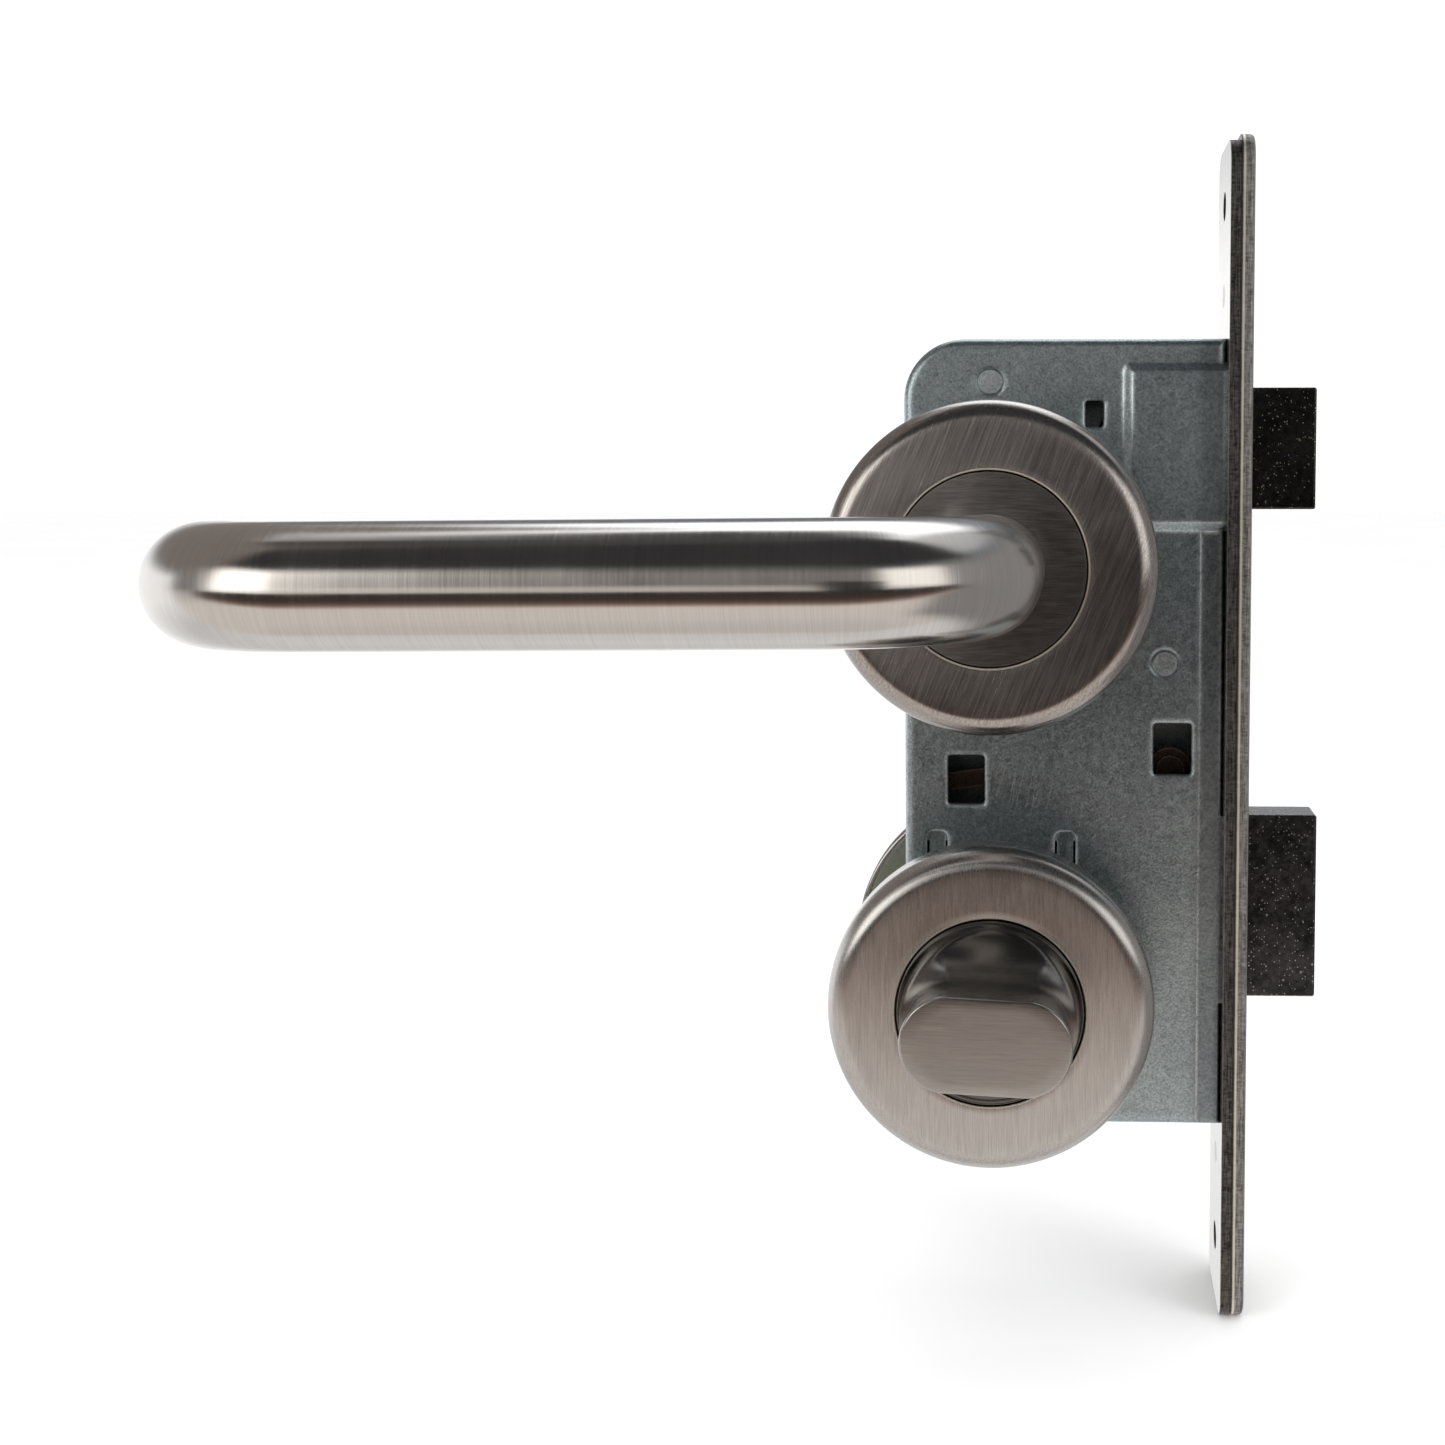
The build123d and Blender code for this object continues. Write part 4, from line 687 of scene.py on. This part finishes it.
def lever_tube(name, side, droop, node_name):
    """Smooth bent tube with a rounded rim on its return leg, where the end cap sits.

    Each point keeps its place on the unrolled tube and the tube's direction for the finish.
    """
    around = 96
    rim_steps = 6
    bore_shown = 4 * MM
    points = lever_centre_line(side, droop)
    level = Vector((-math.sin(droop), 0.0, math.cos(droop)))
    work = bmesh.new()
    lay = work.verts.layers.float_vector.new("turned")
    along_lay = work.verts.layers.float_vector.new("tube_direction")
    travelled = 0.0
    stations = []
    for index, point in enumerate(points):
        before = points[max(index - 1, 0)]
        after = points[min(index + 1, len(points) - 1)]
        along = (after - before).normalized()
        if index:
            travelled += (point - before).length
        stations.append((point, along, travelled, tube_radius))
    last_point, last_along, last_travelled, _ = stations.pop()
    for step in range(rim_steps + 1):
        angle = math.pi / 2 * step / rim_steps
        back = tube_rim_round * (1 - math.sin(angle))
        stations.append((last_point - last_along * back, last_along, last_travelled - back,
                         tube_radius - tube_rim_round * (1 - math.cos(angle))))
    for step in range(rim_steps + 1):
        angle = math.pi / 2 * step / rim_steps
        back = tube_rim_round * (1 - math.cos(angle))
        stations.append((last_point - last_along * back, last_along, last_travelled + back,
                         tube_bore_radius + tube_rim_round * (1 - math.sin(angle))))
    stations.append((last_point - last_along * bore_shown, last_along, last_travelled + bore_shown,
                     tube_bore_radius))
    rings = []
    for point, along, distance, radius in stations:
        out = level.cross(along).normalized()
        ring = []
        for turn in range(around):
            angle = 2 * math.pi * turn / around
            vert = work.verts.new(point + (level * math.cos(angle) + out * math.sin(angle)) * radius)
            vert[lay] = (tube_radius * math.cos(angle), tube_radius * math.sin(angle), distance)
            vert[along_lay] = along
            ring.append(vert)
        rings.append(ring)
    close_bands(work, rings)
    mesh_piece(name, work, "lever_set", node_name)


lever_tube("bent_lever_inside", -1, inside_droop, "lever_tube_inside")
lever_tube("bent_lever_outside", 1, outside_droop, "lever_tube_outside")


def arc(middle_r, middle_h, radius, start, end, steps):
    """Points of an arc in a (distance from the axis, height off the door) profile, angles in degrees."""
    made = []
    for step in range(steps + 1):
        angle = math.radians(start + (end - start) * step / steps)
        made.append((middle_r + radius * math.cos(angle), middle_h + radius * math.sin(angle)))
    return made


def turned_piece(name, profile, side, centre_z, node_name):
    """A closed profile carried round a spindle's axis."""
    around = 192
    work = bmesh.new()
    rings = []
    for distance, height in profile:
        ring = []
        for turn in range(around):
            angle = 2 * math.pi * turn / around
            ring.append(work.verts.new((spindle_x + distance * math.cos(angle), side * height,
                                        centre_z + distance * math.sin(angle))))
        rings.append(ring)
    close_bands(work, rings, closed=True)
    mesh_piece(name, work, "lock_case", node_name)


def rose_profile(face, hole_radius):
    """Pressed shell: skirt, broad rounded edge, flat face, small rolled lip at the hole, hollow behind."""
    flat_steps = 6
    flat_start, flat_end = rose_radius - rose_edge, hole_radius + lip_round
    edge_height = face - rose_edge
    outer = arc(flat_start, edge_height, rose_edge, 0.0, 90.0, 16)
    flat = [(flat_start - (flat_start - flat_end) * k / flat_steps, face) for k in range(1, flat_steps)]
    lip = arc(flat_end, face - lip_round, lip_round, 90.0, 180.0, 5)
    hole_back = [(hole_radius, face - rose_wall)]
    inner = arc(flat_start, edge_height, rose_edge - rose_wall, 90.0, 0.0, 10)
    skirt_outer, skirt_inner = [(rose_radius, door_face)], [(rose_radius - rose_wall, door_face)]
    return skirt_outer + outer + flat + lip + hole_back + inner + skirt_inner


for side_name, side in (("inside", -1), ("outside", 1)):
    turned_piece(f"lever_rose_shell_{side_name}", rose_profile(lever_face, lever_hole_radius), side,
                 spindle_z, f"lever_rose_{side_name}")
    turned_piece(f"turn_rose_shell_{side_name}", rose_profile(turn_face, turn_hole_radius), side,
                 turn_z, f"turn_rose_{side_name}")


def grip_distance_at(angle):
    """Distance from the turn's axis to the grip's outline: flat above and below, round at both ends."""
    bulge = turn_half_width - turn_half_flat
    end_radius = (turn_half_height ** 2 + bulge ** 2) / (2 * bulge)
    end_middle = turn_half_width - end_radius
    across, up = abs(math.cos(angle)), abs(math.sin(angle))
    if up > 1e-9 and turn_half_height * across / up <= turn_half_flat:
        return turn_half_height / up
    along = end_middle * across
    return along + math.sqrt(max(along ** 2 - end_middle ** 2 + end_radius ** 2, 0.0))


def thumbturn_piece():
    """Thumbturn: a flush disc whose two hollows sweep out into an upright grip."""
    around = 240
    lip_steps, hollow_steps, edge_steps = 5, 26, 6
    work = bmesh.new()
    rings = []

    def ring(height, distance_of):
        made = []
        for turn in range(around):
            angle = 2 * math.pi * turn / around
            distance = distance_of(angle)
            tilted = angle - turn_tilt
            made.append(work.verts.new((spindle_x + distance * math.cos(tilted), -height,
                                        turn_z + distance * math.sin(tilted))))
        rings.append(made)

    disc_back = turn_face - turn_disc_thickness
    ring(-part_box("thumbturn")[1].y, lambda angle: turn_back_radius)
    ring(disc_back, lambda angle: turn_back_radius)
    ring(disc_back, lambda angle: turn_disc_radius)
    for step in range(lip_steps + 1):
        lean = math.pi / 2 * step / lip_steps
        ring(turn_face - lip_round * (1 - math.sin(lean)),
             lambda angle: turn_disc_radius - lip_round * (1 - math.cos(lean)))
    for step in range(hollow_steps + 1):
        share = step / hollow_steps
        sweep = math.pi / 2 * share
        flare = turn_scoop * (1 - math.sin(sweep))

        def distance_of(angle):
            grip = grip_distance_at(angle)
            room = turn_disc_radius - lip_round - grip
            return grip + min(flare, room * (1 - share) ** 0.5 if share > 0 else room)
        ring(turn_face + turn_scoop * (1 - math.cos(sweep)) * turn_scoop_share, distance_of)
    top = turn_face + turn_projection
    ring(top - turn_edge_round, grip_distance_at)
    for step in range(1, edge_steps + 1):
        lean = math.pi / 2 * step / edge_steps
        ring(top - turn_edge_round * (1 - math.sin(lean)),
             lambda angle: grip_distance_at(angle) - turn_edge_round * (1 - math.cos(lean)))
    for share in (0.8, 0.5, 0.2):
        ring(top, lambda angle: (grip_distance_at(angle) - turn_edge_round) * share)
    close_bands(work, rings)
    work.faces.new(rings[-1])
    work.faces.new(list(reversed(rings[0])))
    mesh_piece("scooped_thumbturn", work, "turn_set", "thumbturn")


thumbturn_piece()


# ---- Studio ----

def make_floor():
    """A pale floor level with the lock's lowest point."""
    work = bmesh.new()
    reach, steps = 6.0, 24
    bmesh.ops.create_grid(work, x_segments=steps, y_segments=steps, size=reach)
    data = bpy.data.meshes.new("studio_floor")
    work.to_mesh(data)
    work.free()
    floor = place_object("studio_floor", data)
    floor.location = (0.0, 0.0, cad_low.z)
    made, tree, shader, place = start_finish("studio floor")
    paper = blend_colour(tree, noise(tree, place, 3.0), (0.90, 0.90, 0.90), (0.94, 0.94, 0.94))
    tree.links.new(paper, shader.inputs["Base Color"])
    shader.inputs["Roughness"].default_value = 0.9
    data.materials.append(made)
    floor.visible_glossy = False


def colour_stops(tree, value, stops):
    """A colour read off a list of (value, colour) stops."""
    lowest, highest = stops[0][0], stops[-1][0]
    node = add(tree, "ShaderNodeValToRGB", {"Fac": spread(tree, value, lowest, highest)})
    ramp = node.color_ramp
    while len(ramp.elements) > 1:
        ramp.elements.remove(ramp.elements[0])
    for index, (at, colour) in enumerate(stops):
        spot = (at - lowest) / (highest - lowest)
        element = ramp.elements[0] if index == 0 else ramp.elements.new(spot)
        element.position = spot
        element.color = (*colour, 1.0)
    return node.outputs["Color"]


# The room that gloss sees: a dark ceiling, two soft boxes, a beige table and a white area behind
# the lock. Elevations and bearings are in degrees; bearing 0 is the way from the lock to the
# camera, and bearings grow to the right of the photograph.
front_stops = (
    (-90.0, (0.70, 0.67, 0.64)), (-70.0, (0.72, 0.68, 0.65)), (-55.0, (0.82, 0.76, 0.71)),
    (-20.0, (0.84, 0.79, 0.74)), (-7.0, (0.60, 0.56, 0.53)), (-1.0, (0.20, 0.185, 0.175)),
    (20.0, (0.22, 0.21, 0.20)), (29.0, (0.10, 0.10, 0.10)), (36.0, (0.030, 0.030, 0.031)),
    (78.0, (0.026, 0.026, 0.028)), (90.0, (0.08, 0.08, 0.085)))
back_stops = (
    (-90.0, (0.80, 0.78, 0.76)), (-60.0, (0.88, 0.87, 0.86)), (-36.0, (0.74, 0.74, 0.74)),
    (-10.0, (1.25, 1.25, 1.25)), (6.0, (1.25, 1.25, 1.25)), (16.0, (0.22, 0.24, 0.26)),
    (34.0, (0.20, 0.22, 0.25)), (42.0, (0.62, 0.63, 0.64)), (68.0, (0.80, 0.80, 0.80)),
    (78.0, (0.30, 0.31, 0.32)), (90.0, (0.08, 0.08, 0.085)))
# How far a direction points into the door where the back takes over from the front
back_start, back_full = -0.02, 0.06

# White area behind the lock: it fades in and out over these elevations, and sideways
white_fade_in, white_fade_out = (38.0, 46.0), (76.0, 65.0)
white_sideways_fade = (0.42, 0.28)
white_share = 0.6
white_colour = (3.2, 3.3, 3.4)

plain_surroundings = (1.12, 1.12, 1.12)    # what the eye and the diffuse light get

# Patches laid over the room in this order: bearings, elevations, softness, share, colour
room_patches = (
    ((66.0, 150.0), (-44.0, 24.0), 12.0, 1.0, (0.30, 0.29, 0.285)),      # right wall
    ((-150.0, -64.0), (18.0, 58.0), 9.0, 1.0, (0.24, 0.21, 0.19)),       # left wall
    ((-150.0, -48.0), (70.0, 86.0), 5.0, 1.0, (0.07, 0.068, 0.07)),      # dark ceiling at the left
    ((-32.0, -8.0), (-12.0, -2.0), 5.0, 0.8, (0.72, 0.66, 0.62)),        # far edge of the table
    ((-58.0, -31.0), (0.0, 22.0), 9.0, 1.0, (2.2, 2.15, 2.05)),          # left soft box
    ((34.0, 64.0), (0.0, 22.0), 8.0, 1.0, (1.4, 1.36, 1.3)),             # right soft box
)


def patch(tree, turn, climb, bearings, elevations, soft):
    """A soft-edged patch of the room between two bearings and two elevations."""
    (left, right), (low, high) = bearings, elevations
    mask = product(tree, spread(tree, turn, left - soft, left), spread(tree, turn, right + soft, right))
    mask = product(tree, mask, spread(tree, climb, low - soft, low))
    return product(tree, mask, spread(tree, climb, high + soft, high))


def make_world():
    """Pale surroundings for the eye; for gloss, the room described above."""
    world = bpy.data.worlds.new("studio")
    bpy.context.scene.world = world
    world.use_nodes = True
    tree = world.node_tree
    ground = tree.nodes["Background"]
    aim = add(tree, "ShaderNodeTexCoord").outputs["Generated"]
    across, ahead, height = add(tree, "ShaderNodeSeparateXYZ", {"Vector": aim}).outputs
    degrees = 180 / math.pi
    climb = product(tree, calc(tree, "ARCSINE", height), degrees)
    turn = product(tree, calc(tree, "ARCTAN2", across, product(tree, ahead, -1.0)), degrees)
    front = colour_stops(tree, climb, front_stops)
    back = colour_stops(tree, climb, back_stops)
    white = product(tree, spread(tree, climb, *white_fade_in), spread(tree, climb, *white_fade_out))
    white = product(tree, white, spread(tree, calc(tree, "ABSOLUTE", across), *white_sideways_fade))
    back = blend_colour(tree, product(tree, white, white_share), back, white_colour)
    seen = blend_colour(tree, spread(tree, ahead, back_start, back_full), front, back)
    for bearings, elevations, soft, share, colour in room_patches:
        mask = product(tree, patch(tree, turn, climb, bearings, elevations, soft), share)
        seen = blend_colour(tree, mask, seen, colour)
    for_gloss = add(tree, "ShaderNodeLightPath").outputs["Is Glossy Ray"]
    colour = blend_colour(tree, for_gloss, plain_surroundings, seen)
    tree.links.new(colour, ground.inputs["Color"])
    ground.inputs["Strength"].default_value = 1.0


# Shade of the dark cards by height in mm
card_stops = (
    (-150.0, (0.88, 0.82, 0.76)), (-138.0, (0.72, 0.60, 0.53)), (-122.0, (0.38, 0.28, 0.235)),
    (-102.0, (0.17, 0.112, 0.09)), (-72.0, (0.075, 0.050, 0.042)), (-22.0, (0.040, 0.036, 0.034)),
    (60.0, (0.035, 0.034, 0.033)))
# Each card's left, right, low and high edge in mm, and its columns and rows
cards_sizes = ((-900.0, 900.0, -150.0, -8.0, 24, 4), (-66.0, 95.0, -8.0, 60.0, 6, 3))
cards_distance = 318.0 * MM


def make_cards():
    """Dark cards behind the camera that only gloss sees: a wide low one and the camera's own outline."""
    made, tree, shader, place = start_finish("dark card")
    shade = colour_stops(tree, calc(tree, "DIVIDE", component(tree, place, "Z"), MM), card_stops)
    shader.inputs["Base Color"].default_value = (0.0, 0.0, 0.0, 1.0)
    shader.inputs["Specular IOR Level"].default_value = 0.0
    tree.links.new(shade, shader.inputs["Emission Color"])
    shader.inputs["Emission Strength"].default_value = 1.0
    work = bmesh.new()
    for left, right, low, high, columns, rows in cards_sizes:
        grid = []
        for row in range(rows + 1):
            level = (low + (high - low) * row / rows) * MM
            grid.append([work.verts.new(((left + (right - left) * column / columns) * MM,
                                         -cards_distance, level)) for column in range(columns + 1)])
        for lower, upper in zip(grid, grid[1:]):
            for column in range(columns):
                work.faces.new((lower[column], lower[column + 1], upper[column + 1], upper[column]))
    data = bpy.data.meshes.new("dark_cards")
    work.to_mesh(data)
    work.free()
    data.materials.append(made)
    cards = place_object("dark_cards", data)
    for kind in ("camera", "diffuse", "transmission", "volume_scatter", "shadow"):
        setattr(cards, f"visible_{kind}", False)


def make_lights():
    """Two soft boxes beside the camera and a broad weak one above, all hidden from gloss."""
    lit_middle = Vector((-0.05, 0.0, 0.0))
    for name, place, size, watts in (
        ("soft_box_left", (-0.75, -0.65, 0.35), (0.5, 0.4), 3.0),
        ("soft_box_right", (0.70, -0.60, 0.30), (0.5, 0.4), 3.0),
        ("soft_box_top", (-0.05, -0.10, 1.1), (0.9, 0.9), 2.0),
    ):
        light = bpy.data.lights.new(name, "AREA")
        light.shape = "RECTANGLE"
        light.size, light.size_y = size
        light.energy = watts
        made = place_object(name, light)
        made.location = place
        made.rotation_mode = "QUATERNION"
        made.rotation_quaternion = (lit_middle - Vector(place)).to_track_quat("-Z", "Y")
        made.visible_glossy = False


def make_camera():
    """Camera in front of the inside face, a little left of the forend, as in the photograph."""
    photo_side = 1445.0
    focal_pixels = 1807.32
    view_middle = (996.08, 610.61)
    yaw, pitch = math.radians(2.02), math.radians(4.42)
    place_mm = (-31.23, -305.75, 44.22)
    data = bpy.data.cameras.new("camera")
    data.sensor_width = 36.0
    data.lens = focal_pixels / photo_side * data.sensor_width
    data.shift_x = 0.5 - view_middle[0] / photo_side
    data.shift_y = view_middle[1] / photo_side - 0.5
    data.clip_start, data.clip_end = 0.01, 50.0
    camera = place_object("camera", data)
    camera.location = [number * MM for number in place_mm]
    camera.rotation_euler = (math.pi / 2 - pitch, 0.0, yaw)
    bpy.context.scene.camera = camera


make_floor()
make_world()
make_cards()
make_lights()
make_camera()
bpy.context.scene.view_settings.view_transform = "Standard"
